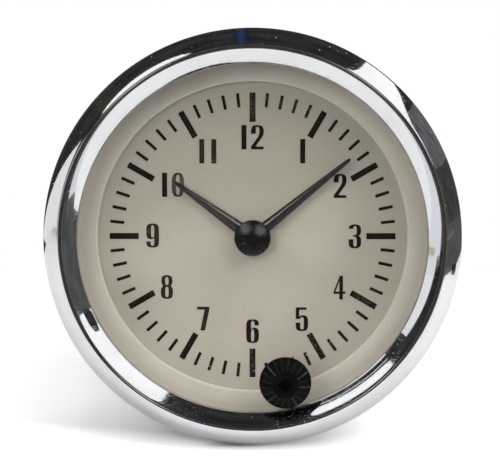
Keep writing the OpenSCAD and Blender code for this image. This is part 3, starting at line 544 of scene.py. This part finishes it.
# painted highlights along the rib crests: faint on most ribs, brighter on a few
FAINT_HIGHLIGHT_LOOK, GLINT_HIGHLIGHT_LOOK = rib_look("knob_rib_painted_highlight", 0.011), rib_look("knob_rib_painted_glint", 0.085)
STUD_LOOK = threaded("stud_thread", (0.62, 0.62, 0.58), 0.3, 0.7)
PRINT_LOOK = print_look()


def dress(obj, look):
    """Gives an object this one material."""
    obj.data.materials.clear()
    obj.data.materials.append(look.material)


SLOT = {s["node"]: s["material_slot"] for s in frame["record"]["subparts"]}
for name, obj in NODES.items():
    dress(obj, LOOKS[SLOT[name]])
dress(NODES["mounting_studs"], STUD_LOOK)


def stand_for(piece, body, node):
    """Fine shape that is drawn in place of a CAD node and moves with its body."""
    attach(piece, body)
    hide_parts(node)
    dress(piece, LOOKS[SLOT[node]])
    return piece


# Bezel: rim, flank, rounded crest and hollow inner slope

crest = (27.2, 4.47)
round_r = 0.56
rounding = arc(crest, round_r, 51, 124, 24)
bezel_profile = (
    [(27.0, 0.0)]
    + arc((29.3, 0.7), 0.7, -90, 0, 8)
    + bowed((30.0, 1.7), rounding[0], 0.21, 28)[:-1]
    + rounding
    + bowed(rounding[-1], (25.0, 3.3), 0.055, 24)[1:]
    + [(24.93, 3.2), (24.9, 3.1), (24.9, 2.6), (25.35, 2.6), (27.0, 4.28), (27.4, 4.2),
       (29.5, 1.5), (29.5, 0.7), (29.3, 0.5), (27.0, 0.5)])
stand_for(lathe("bezel_ring", bezel_profile, segs=384, sharp=40), "case", "bezel")

# Visor ring: hollow slope and rounded lip

visor_profile = (
    [(22.4, -0.7), (25.1, -0.7), (25.1, 1.1), (27.8, 1.1), (27.8, 1.4), (25.15, 1.4)]
    + bowed((25.05, 1.38), (22.6, -0.09), -0.32, 24)
    + arc((22.59, -0.22), 0.13, 96, 180, 10))
stand_for(lathe("visor_slope", visor_profile, segs=320, sharp=50), "case", "visor_ring")


# Hands: ridged blades on a hub


def hand(name, length, width, z, angle, hole, body, node):
    """A blade with a bowed roof and a rounded point, on a flat hub with a hole."""
    tip, point, thick, edge = 0.6, 0.7, 0.3, 0.05
    across, hub_r, hub_edge, segs = 12, 2.175, 0.22, 72
    straight = length - point
    bm = bmesh.new()
    a = math.radians(angle)
    rows = []
    for s in (0, straight, length - point * 0.5, length - point * 0.15, length):
        half = width / 2 + (tip / 2 - width / 2) * min(1, s / straight)
        if s > straight:
            half = tip / 2 * math.sqrt(1 - 0.96 * ((s - length + point) / point) ** 2)
        ring = []
        for k in range(-across, across + 1):
            u = k / across
            roof = edge + (thick - edge) * half / (width / 2) * (1 - abs(u) ** 1.6)
            ring.append((half * u, z + roof))
        ring += [(half, z), (-half, z)]
        rows.append([bm.verts.new(row(x * math.cos(a) + s * math.sin(a),
                                      -x * math.sin(a) + s * math.cos(a), h)) for x, h in ring])
    for r0, r1 in zip(rows, rows[1:]):
        join(bm, r0, r1)
    bm.faces.new(rows[0])
    bm.faces.new(list(reversed(rows[-1])))
    hub = [(hub_r, z), (hub_r, z + hub_edge), (2.1, z + thick), (hole, z + thick), (hole, z)]
    rings = [[bm.verts.new(row(r * math.sin(TAU * k / segs), r * math.cos(TAU * k / segs), h))
              for k in range(segs)] for r, h in hub]
    for i, ring in enumerate(rings):
        join(bm, ring, rings[(i + 1) % len(rings)])
    return stand_for(to_object(name, bm, sharp=36), body, node)


dress(hand("hour_pointer", 13.9, 2.1, -0.25, HOUR_ANGLE, 1.15, "hour_set", "hour_hand"), HOUR_LOOK)
hand("minute_pointer", 18.1, 1.9, 0.35, MINUTE_ANGLE, 0.7, "minute_set", "minute_hand")

# Hub cap: dome with a rim bead and a dimple

cap_profile = [(0, 0.75), (0.7, 0.75), (0.7, 0.65), (2.5, 0.65), (2.59, 0.68), (2.625, 0.75), (2.6, 0.82),
               (2.53, 0.85), (2.47, 0.82)]
for k in range(20, 2, -1):
    share = math.sin(k * math.pi / 40)
    cap_profile.append((2.44 * share, 0.82 + 0.4 * (1 - share ** 2)))
cap_profile += [(0.3, 1.205), (0.15, 1.18), (0, 1.17)]
stand_for(lathe("hub_dome", cap_profile, segs=128, sharp=40), "minute_set", "hub_cap")


# Setting knob: fluted cone with a square socket


def knob():
    flutes, per, start = 20, 16, 8
    turn = math.radians(start)
    segs = flutes * per
    back_z, side_z, top_z, top_r, floor_z = 4.1, 4.6, 6.4, 1.95, 5.5
    rib_share, bore_share, corner_power = 0.86, 0.34, 1.15
    side = bowed((3.7, side_z), (top_r, top_z), 0.1, 14)
    profile = [(3.5, back_z), (3.64, 4.16), (3.7, 4.3), (3.7, side_z)] + side[1:]
    bm = bmesh.new()

    def ring(points):
        return [bm.verts.new(row(STEM[0] + x, STEM[1] + y, z)) for x, y, z in points]

    def round_ring(r, z):
        points = []
        for k in range(segs):
            t = TAU * (k + per / 2) / segs + turn
            u = abs(((k + per / 2) % per) / per - 0.5) * 2      # 0 in a flute, 1 on a rib
            rise = min(1, max(0, z - side_z) / 0.4)             # the flutes run out at the back
            cut = max(0.0, 1 - (u / rib_share) ** 2) * (0.10 + 0.055 * r) * rise
            points.append(((r - cut) * math.sin(t), (r - cut) * math.cos(t), z))
        return points

    def square_ring(half_diagonal, z):
        points = []
        for k in range(segs):
            t = TAU * (k + per / 2) / segs + turn
            s, c = math.sin(t), math.cos(t)
            d = half_diagonal / (abs(s) ** corner_power + abs(c) ** corner_power) ** (1 / corner_power)
            points.append((d * s, d * c, z))
        return points

    rings = [ring([(x * bore_share, y * bore_share, back_z) for x, y, z in round_ring(3.5, back_z)])]
    rings += [ring(round_ring(r, z)) for r, z in profile]
    rings += [ring([(x * r / top_r, y * r / top_r, top_z) for x, y, z in round_ring(top_r, back_z)])
              for r in (1.72, 1.55, 1.3)]
    rings += [ring(square_ring(half, z))
              for half, z in ((1.06, top_z), (1.03, 6.37), (1.0, 5.52), (0.9, floor_z))]
    # the ribs whose crests get the brighter painted highlight
    painted_light_places = {round((clock - start) / 360 * flutes) % flutes for clock in (-47, 62, 98, 152, -137)}
    plain_slot, highlight_slot, glint_slot = 0, 1, 2
    slots = []
    for i, (lower, upper) in enumerate(zip(rings, rings[1:])):
        join(bm, lower, upper)
        for k in range(segs):
            rib, place = divmod(k + per // 2, per)
            if place not in (0, per - 1) or not 4 < i < 18:
                slots.append(plain_slot)
            elif (rib + (place > 0)) % flutes in painted_light_places:
                slots.append(glint_slot)
            else:
                slots.append(highlight_slot)
    bm.faces.new(rings[-1])
    obj = to_object("knob_body", bm, sharp=34)
    stand_for(obj, "knob_set", "setting_knob")
    obj.data.materials.append(FAINT_HIGHLIGHT_LOOK.material)
    obj.data.materials.append(GLINT_HIGHLIGHT_LOOK.material)
    for polygon, slot in zip(obj.data.polygons, slots):
        polygon.material_index = slot


knob()


# Return spring on the stem: a wire coil with closed ends


def coil(name, turns, radius, wire, y0, y1):
    """Wire round the stem between two depths, with one closed turn at each end."""
    around, per_turn = 10, 28
    bm = bmesh.new()
    n = int(turns * per_turn)
    open_share = (turns - 1) / turns
    rings = []
    for i in range(n + 1):
        t = i / n
        in_end_turn = min(t, 1 - t) * turns < 1
        level = math.copysign(0.5, t - 0.5) if in_end_turn else (t - 0.5) / open_share
        level = max(-0.5, min(0.5, level))
        y = (y0 + y1) / 2 + level * (y1 - y0 - wire)
        a = TAU * turns * t
        centre = Vector((STEM[0] + radius * math.cos(a), y, STEM[1] + radius * math.sin(a)))
        outward = Vector((math.cos(a), 0, math.sin(a)))
        ring = []
        for k in range(around):
            b = TAU * k / around
            side = math.cos(b) * outward + math.sin(b) * Vector((0, 1, 0))
            ring.append(bm.verts.new((centre + wire / 2 * side) * MM))
        rings.append(ring)
    for ring, other in zip(rings, rings[1:]):
        join(bm, ring, other)
    bm.faces.new(rings[0])
    bm.faces.new(list(reversed(rings[-1])))
    return stand_for(to_object(name, bm, sharp=50), "case", "return_spring")


SPRING = (6.577, 15.873)        # its front and back end, in mm of depth
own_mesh(coil("stem_spring", 8, 1.5, 0.4, *SPRING))

# Dial print: minute marks, hour marks and numerals

HEIGHT = 3.49
CORNER = True       # marks a point of a numeral that stays a corner
SIX = smooth_outline([
    (1.81, 2.59, CORNER), (1.81, 2.95), (1.58, 3.36), (0.91, 3.49), (0.24, 3.34), (0, 2.75),
    (0, 0.75), (0.22, 0.17), (0.91, 0), (1.6, 0.17), (1.81, 0.75), (1.81, 1.62), (1.62, 2.12),
    (1.2, 2.27), (0.86, 2.2), (0.68, 2.04, CORNER), (0.68, 2.85), (0.76, 3.15), (0.93, 3.23),
    (1.12, 3.14), (1.2, 2.85), (1.2, 2.59, CORNER)])
SIX_COUNTER = oval(0.91, 1.13, 0.46, 1.8, 3)
# Outline and counters of each numeral, from its lower left corner
DIGITS = {
    "0": [oval(0.895, HEIGHT / 2, 1.79, HEIGHT, 2.7, 56), oval(0.895, HEIGHT / 2, 0.52, 2.96, 3)],
    "1": [[(0, 0), (0.73, 0), (0.73, HEIGHT), (0, HEIGHT)]],
    "2": [smooth_outline([
        (0, 0, CORNER), (1.82, 0, CORNER), (1.82, 0.4, CORNER), (0.66, 0.4, CORNER), (0.95, 0.86),
        (1.42, 1.5), (1.75, 2.05), (1.82, 2.5), (1.82, 2.8), (1.58, 3.32), (0.91, 3.49),
        (0.24, 3.34), (0, 2.8), (0, 2.24, CORNER), (0.7, 2.24, CORNER), (0.7, 2.86), (0.78, 3.14),
        (0.95, 3.23), (1.11, 3.14), (1.19, 2.86), (1.19, 2.42), (1.08, 1.98), (0.74, 1.4),
        (0.22, 0.72), (0, 0.36, CORNER)])],
    "3": [smooth_outline([
        (0, 2.84, CORNER), (0, 2.98), (0.26, 3.36), (0.89, 3.49), (1.54, 3.33), (1.76, 2.85),
        (1.76, 2.35), (1.66, 2.02), (1.46, 1.83), (1.68, 1.62), (1.78, 1.25), (1.78, 0.72),
        (1.56, 0.17), (0.89, 0), (0.22, 0.17), (0, 0.66), (0, 1.32, CORNER), (0.68, 1.32, CORNER),
        (0.68, 0.62), (0.76, 0.34), (0.92, 0.26), (1.07, 0.34), (1.14, 0.62), (1.14, 1.32),
        (1.04, 1.62), (0.86, 1.7), (0.6, 1.7, CORNER), (0.6, 1.92, CORNER), (0.86, 1.92),
        (1.04, 2.02), (1.14, 2.28), (1.14, 2.88), (1.06, 3.16), (0.9, 3.23), (0.72, 3.16),
        (0.64, 2.98), (0.64, 2.84, CORNER)])],
    "4": [[(0.845, 0), (1.355, 0), (1.355, 0.84), (1.73, 0.84), (1.73, 1.17), (1.355, 1.17),
           (1.355, HEIGHT), (0.9, HEIGHT), (0, 1.17), (0, 0.84), (0.845, 0.84)],
          [(0.27, 1.17), (0.845, 1.17), (0.845, 2.72)]],
    "5": [smooth_outline([
        (0, 1.79, CORNER), (0, HEIGHT, CORNER), (1.57, HEIGHT, CORNER), (1.57, 3.13, CORNER),
        (0.5, 3.13, CORNER), (0.5, 2.14, CORNER), (0.78, 2.3), (1.14, 2.34), (1.58, 2.16),
        (1.78, 1.66), (1.78, 0.74), (1.56, 0.17), (0.89, 0), (0.22, 0.17), (0, 0.68),
        (0, 1.25, CORNER), (0.66, 1.25, CORNER), (0.66, 0.62), (0.74, 0.34), (0.91, 0.26),
        (1.08, 0.34), (1.16, 0.62), (1.16, 1.68), (1.08, 1.96), (0.91, 2.04), (0.72, 1.98),
        (0.62, 1.79, CORNER)])],
    "6": [SIX, SIX_COUNTER],
    "7": [[(0, HEIGHT), (1.79, HEIGHT), (1.79, 3.07), (1.15, 0), (0.48, 0), (1.1, 3.07), (0, 3.07)]],
    "8": [smooth_outline([
        (0.875, HEIGHT), (1.48, 3.33), (1.68, 2.85), (1.66, 2.3), (1.47, 1.91), (1.7, 1.52),
        (1.75, 0.8), (1.54, 0.17), (0.875, 0), (0.21, 0.17), (0, 0.8), (0.05, 1.52), (0.28, 1.91),
        (0.09, 2.3), (0.07, 2.85), (0.27, 3.33)]),
        oval(0.875, 2.625, 0.48, 1.16, 3), oval(0.875, 1.02, 0.49, 1.48, 3)],
    "9": [[(1.81 - x, HEIGHT - y) for x, y in line] for line in (SIX, SIX_COUNTER)],
}
WIDTHS = {"0": 1.79, "1": 0.73, "2": 1.82, "3": 1.78, "4": 1.73, "5": 1.78, "6": 1.81,
          "7": 1.79, "8": 1.75, "9": 1.81}
# Centre of each hour's numeral
HOURS = {12: (0, 14.3), 1: (7.23, 12.3), 2: (12.65, 7.29), 3: (14.83, -0.03), 4: (12.65, -7.52),
         5: (7.19, -12.16), 6: (0.01, -13.92), 7: (-7.18, -12.07), 8: (-12.45, -7.44),
         9: (-14.48, 0.07), 10: (-11.48, 7.44), 11: (-6.45, 12.27)}
INK = (DIAL_TOP, DIAL_TOP + 0.025)
PRINT_UP = 0.17     # the photographed print stands this much higher than the dial's centre


def numeral(bm, text, centre):
    gap = 1.0 if text == "11" else 0.66
    x = centre[0] - (sum(WIDTHS[c] for c in text) + gap * (len(text) - 1)) / 2
    foot = centre[1] - HEIGHT / 2
    for c in text:
        slab(bm, [[(x + p[0], foot + p[1] + PRINT_UP) for p in line] for line in DIGITS[c]], *INK)
        x += WIDTHS[c] + gap


def mark(bm, minute, r0, r1, width):
    a = math.radians(minute * 6)
    s, c = math.sin(a), math.cos(a)
    slab(bm, [[(r * s + w * c, r * c - w * s + PRINT_UP) for r, w in
               ((r0, -width / 2), (r1, -width / 2), (r1, width / 2), (r0, width / 2))]], *INK)


prints = {"numerals": bmesh.new(), "hour_marks": bmesh.new(), "minute_marks": bmesh.new()}
for hour, centre in HOURS.items():
    numeral(prints["numerals"], str(hour), centre)
MARKS_END = 20.71
for minute in range(60):
    if minute % 5:
        mark(prints["minute_marks"], minute, 18.67, MARKS_END, 0.45)
    else:
        mark(prints["hour_marks"], minute, 16.5, MARKS_END, 0.87)
for name, bm in prints.items():
    piece = to_object(name, bm)
    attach(piece, "case")
    dress(piece, PRINT_LOOK)

# Stage: floor, cards, lamps, world and camera. Sizes and places are in metres from here on.

CARD_R = 0.42
CARD_STEPS = 24
FLOOR_SLOPE = 4.0 / 28.4        # from the bezel's lowest point to the can's rear edge


def glow(name, color, low, high, per_mm=0.012):
    """Card material that gives light of its own, uneven between low and high."""
    look = Look(name, (0, 0, 0), 1.0, sockets=[("Emission Color", (*color, 1))])
    look.drive("Emission Strength", look.ramp(look.noise(per_mm, 4, 0.6), 0.3, 0.7, low, high))
    return look.material


def only_mirrored(obj, material):
    """Stage piece that shows in mirror reflections and nowhere else."""
    obj.data.materials.append(material)
    obj.visible_camera = False
    obj.visible_diffuse = False
    obj.visible_shadow = False
    obj.visible_transmission = False
    obj.visible_volume_scatter = False


def card(name, spans, material, r=CARD_R):
    """A bent card round the clock's axis. Spans hold (y, first, last clock angle), front to back."""
    bm = bmesh.new()
    rows = []
    for y, first, last in spans:
        places = [dial_xy(r, first + (last - first) * i / CARD_STEPS) for i in range(CARD_STEPS + 1)]
        rows.append([bm.verts.new((x, y, z)) for x, z in places])
    for a, b in zip(rows, rows[1:]):
        for k in range(CARD_STEPS):
            bm.faces.new((a[k], a[k + 1], b[k + 1], b[k]))
    only_mirrored(to_object(name, bm), material)


def disc(name, x, y, z, radius, segments):
    """Flat disc before the clock, square to its axis."""
    bm = bmesh.new()
    place = Matrix.Translation((x, y, z)) @ Matrix.Rotation(math.pi / 2, 4, "X")
    bmesh.ops.create_circle(bm, cap_ends=True, segments=segments, radius=radius, matrix=place)
    return to_object(name, bm)


def sheet(name, points):
    """One flat face through the points."""
    bm = bmesh.new()
    bm.faces.new([bm.verts.new(point) for point in points])
    return to_object(name, bm)


def on_slope(x0, x1, y0, y1, z):
    """Corners of a rectangle that slopes like the floor and is at height z where y is 0."""
    return [(x, y, z + y * FLOOR_SLOPE) for x, y in ((x0, y0), (x1, y0), (x1, y1), (x0, y1))]


# Card materials, each with the strength of its light at its darkest and its brightest
BLACK = glow("black_card", (0.90, 0.93, 1.0), 0.008, 0.045)
UMBER = glow("umber_card", (1.0, 0.86, 0.7), 0.02, 0.06)
NAVY = glow("navy_card", (0.4, 0.5, 0.9), 0.02, 0.05)
GREY = glow("grey_card", (0.97, 1.0, 0.97), 0.05, 0.13)
HAZE = glow("haze_card", (0.93, 0.97, 1.0), 0.06, 0.21, 0.03)
DUSK = glow("dusk_card", (1.0, 1.0, 0.93), 0.025, 0.075, 0.02)
BOX = glow("soft_box", (1.0, 1.0, 1.0), 1.22, 1.36)
BROWN = glow("camera_side", (1.0, 0.80, 0.74), 0.03, 0.06)
BLUE = glow("blue_strip", (0.14, 0.25, 0.8), 0.11, 0.18)
LILAC = glow("low_card", (0.965, 0.965, 1.0), 0.90, 0.97)
OLIVE = glow("olive_strip", (1.0, 0.98, 0.66), 0.55, 0.62)

# The cards, roughly from 9 o'clock over 12 and 3 to 6. One with a smaller radius hides the rest.
card("card_left", [(-0.38, -96, -54), (-0.16, -91, -54), (-0.145, -63, -54), (-0.05, -63, -54),
                   (-0.045, -94, -54), (-0.012, -94, -54), (0.005, -64, -54), (0.4, -97, -54)], BLACK)
card("card_left_tone", [(0.02, -54, -44), (0.4, -54, -47)], UMBER, 0.4195)
card("card_top", [(-0.38, -20, 31), (-0.10, -20, 31), (0.4, -20, 31)], BLACK)
card("card_behind_left", [(-0.38, -54, -20), (0.4, -54, -20)], BLACK)
card("box_left", [(-0.24, -51, -23), (-0.23, -53.5, -21), (-0.17, -53.5, -21), (-0.155, -50, -24)],
     BOX, 0.418)
card("box_left_low", [(-0.135, -53, -21), (-0.128, -53, -21)], BOX, 0.418)
card("box_lens", [(-0.085, -53.5, -20.5), (-0.03, -53.5, -20.5), (-0.008, -51, -23),
                  (0.008, -46, -28), (0.016, -40, -33)], BOX, 0.418)
card("box_right", [(-0.265, 37, 67), (-0.245, 33, 71), (-0.22, 32, 72), (-0.055, 31, 72),
                   (-0.04, 32.5, 59), (0.03, 34, 54), (0.1, 34.5, 51), (0.3, 35.5, 46)], BOX, 0.418)
card("notch_right", [(-0.17, 67, 72), (-0.15, 64.5, 72.5), (-0.10, 64, 72.5), (-0.075, 67, 71)],
     BLACK, 0.414)
card("card_behind_right", [(-0.38, 31, 73), (0.4, 31, 73)], BLACK)
card("card_tone_right", [(-0.05, 54, 73), (0.4, 54, 73)], HAZE, 0.4195)
card("card_dark_right", [(-0.04, 73, 90), (0.4, 73, 88)], DUSK, 0.4195)
card("card_right", [(-0.38, 73, 108), (-0.2, 73, 108), (-0.1, 73, 112), (-0.04, 73, 110), (0.4, 73, 108)],
     GREY)
card("card_low", [(-0.23, 150, 212), (-0.205, 128, 234), (-0.178, 104, 275), (-0.0355, 104, 275)],
     LILAC, 0.4245)
card("card_low_front", [(-0.38, 104, 275), (-0.176, 104, 275)], BROWN, 0.425)
card("navy_patch", [(-0.06, -6.2, -0.8), (0.38, -6.4, -1.2)], NAVY, 0.4165)
card("blue_line", [(-0.06, -4.6, -2.5), (0.38, -4.8, -2.8)], BLUE, 0.415)
card("olive_line", [(-0.125, -95.5, -90), (-0.04, -95.5, -90)], OLIVE, 0.424)
only_mirrored(disc("card_front", 0, -0.385, 0, 0.41, 48), BROWN)


def soft_spot(name, x, z, reach, level):
    """A small disc before the clock that glows most at its centre."""
    y = -0.38
    look = Look(name, (0, 0, 0), 1.0, sockets=[("Emission Color", (1, 1, 1, 1))])
    fall = look.spot((x * PER_METRE, y * PER_METRE, z * PER_METRE), 0, reach * PER_METRE)
    look.drive("Emission Strength", look.ramp(fall, 0, 1, 0.05, level))
    only_mirrored(disc(name, x, y, z, reach, 32), look.material)


soft_spot("spot_right", 0.1125, 0.1235, 0.054, 1.9)
soft_spot("spot_left", -0.122, 0.116, 0.054, 1.9)
soft_spot("spot_low_left", -0.1125, -0.17, 0.10, 0.13)
soft_spot("spot_low_right", 0.122, -0.165, 0.10, 0.11)

# Small dark sheets just over the floor at both sides, for two notches in the bright flank
only_mirrored(sheet("notch_low_left", [(-0.1, 0.045, -0.010), (-0.1, 0.10, -0.0075),
                                       (-0.1, 0.10, -0.017), (-0.1, 0.07, -0.0165)]), NAVY)
only_mirrored(sheet("notch_low_right", [(0.1, 0.016, -0.019), (0.1, 0.04, -0.0195),
                                        (0.1, 0.04, -0.0255), (0.1, 0.02, -0.0245)]), NAVY)

# A dark strip on the floor carries the right card's shade down
only_mirrored(sheet("card_floor_right", on_slope(0.115, 0.40, -0.06, 0.10, -0.0294)), GREY)


def paper_look():
    """White paper. It gives light of its own, less of it where the clock's shade falls."""
    look = Look("floor_paper", (0.80, 0.80, 0.80), 0.8)
    look.tint(look.ramp(look.noise(0.01, 3), 0.4, 0.7), (0.78, 0.78, 0.785))
    look.shader.inputs["Emission Color"].default_value = (1, 1, 1, 1)
    path = look.tree.nodes.new("ShaderNodeLightPath")
    low = -30                                   # height of the floor at the front, in mm
    where = look.axis("X")

    # the wide shade, behind the clock and to the left, and the darker part close to the bezel
    line = look.math("ADD", look.math("MULTIPLY", where, 0.23), look.axis("Y"))
    shade = look.math("MULTIPLY", look.ramp(line, -8, 1), look.ramp(where, 0, 42, 1, 0.05))
    shade = look.math("MULTIPLY", shade, look.spot((0, 0, low), 60, 260))
    touch = look.math("MULTIPLY", look.spot((-4, 1, low), 2, 22, scale=(0.7, 1, 1)), 0.32)
    level = look.math("SUBTRACT", look.ramp(shade, 0, 1, 1.0, 0.34), touch)

    # painted contact shadow: the thin dark line where the bezel stands on the paper, less light and a
    # darker colour
    contact_shadow = look.spot((-0.75, -0.7, low), 0.3, 1.7, scale=(0.3, 1, 1))
    level = look.math("MULTIPLY", look.math("MAXIMUM", level, 0.03), look.ramp(contact_shadow, 0, 1, 1, 0.12))
    look.tint(contact_shadow, (0.42, 0.42, 0.42))

    # less light for the rays that mirror the paper than for the camera
    mirrored = look.math("MAXIMUM", path.outputs["Is Glossy Ray"], path.outputs["Is Transmission Ray"])
    mirrored = look.math("MULTIPLY", mirrored, look.ramp(look.axis("Y"), -4, 4, 0.15, 1))
    faint = look.math("MINIMUM", look.math("MULTIPLY", level, 0.45), 0.1)
    mirrored = look.math("MULTIPLY", mirrored, faint)
    seen = look.math("MULTIPLY", path.outputs["Is Camera Ray"], level)
    look.drive("Emission Strength", look.math("MAXIMUM", seen, mirrored))
    return look


floor = sheet("floor", on_slope(-0.9, 0.9, -0.035, 0.10, -0.0301))
floor.data.materials.append(paper_look().material)


def sky(dim, full):
    """White world: full strength for the camera and in mirrors and glass, dim as a lamp."""
    world = bpy.data.worlds.new("studio")
    bpy.context.scene.world = world
    world.use_nodes = True
    tree = world.node_tree
    tree.nodes.clear()
    path = tree.nodes.new("ShaderNodeLightPath")
    found = path.outputs["Is Camera Ray"]
    for kind in ("Is Glossy Ray", "Is Transmission Ray"):
        either = tree.nodes.new("ShaderNodeMath")
        either.operation = "MAXIMUM"
        tree.links.new(found, either.inputs[0])
        tree.links.new(path.outputs[kind], either.inputs[1])
        found = either.outputs[0]
    level = tree.nodes.new("ShaderNodeMapRange")
    level.inputs["To Min"].default_value = dim
    level.inputs["To Max"].default_value = full
    white = tree.nodes.new("ShaderNodeBackground")
    white.inputs["Color"].default_value = (1, 1, 1, 1)
    out = tree.nodes.new("ShaderNodeOutputWorld")
    tree.links.new(found, level.inputs["Value"])
    tree.links.new(level.outputs["Result"], white.inputs["Strength"])
    tree.links.new(white.outputs[0], out.inputs["Surface"])


sky(0.38, 1.0)

LAMP_SIZE = 0.26


def lamp(name, place, watts, color=(1, 1, 1)):
    """Square lamp that points at the clock and isn't seen in mirrors."""
    data = bpy.data.lights.new(name, "AREA")
    data.shape = "SQUARE"
    data.size = LAMP_SIZE
    data.energy = watts
    data.color = color
    obj = bpy.data.objects.new(name, data)
    bpy.context.scene.collection.objects.link(obj)
    obj.location = place
    obj.rotation_euler = (-Vector(place)).to_track_quat("-Z", "Y").to_euler()
    obj.visible_glossy = False


lamp("key", (0.25, -0.20, 0.33), 0.85, (1.0, 0.99, 0.97))
lamp("key_right", (0.36, -0.11, 0.30), 0.52)
lamp("top_light", (0.0, -0.11, 0.45), 0.65)
lamp("front_left", (-0.26, -0.32, 0.13), 0.9)
lamp("fill_left", (-0.24, -0.17, 0.34), 0.33)
lamp("fill_right", (0.36, -0.16, 0.13), 0.32)

# Camera: direction from the clock, distance, lens in mm and the aim's shift in pixels of the photograph
AZ = math.radians(0.26)
EL = math.radians(5.2)
FAR = 0.200
LENS = 99.7
SENSOR = 36
PHOTO_WIDTH = 500
SHIFT_RIGHT = -2.5
SHIFT_UP = 2.7

camera = bpy.data.objects.new("camera", bpy.data.cameras.new("camera"))
bpy.context.scene.collection.objects.link(camera)
bpy.context.scene.camera = camera
camera.data.sensor_width = SENSOR
camera.data.lens = LENS
camera.data.clip_start = 0.01
camera.location = FAR * Vector((math.sin(AZ) * math.cos(EL), -math.cos(AZ) * math.cos(EL), math.sin(EL)))
right = Vector((math.cos(AZ), math.sin(AZ), 0))
up = right.cross(-camera.location.normalized())
pixel = FAR / (LENS / SENSOR * PHOTO_WIDTH)
aim = SHIFT_RIGHT * pixel * right + SHIFT_UP * pixel * up
camera.rotation_euler = (aim - camera.location).to_track_quat("-Z", "Y").to_euler()

bpy.context.scene.view_settings.view_transform = "Standard"
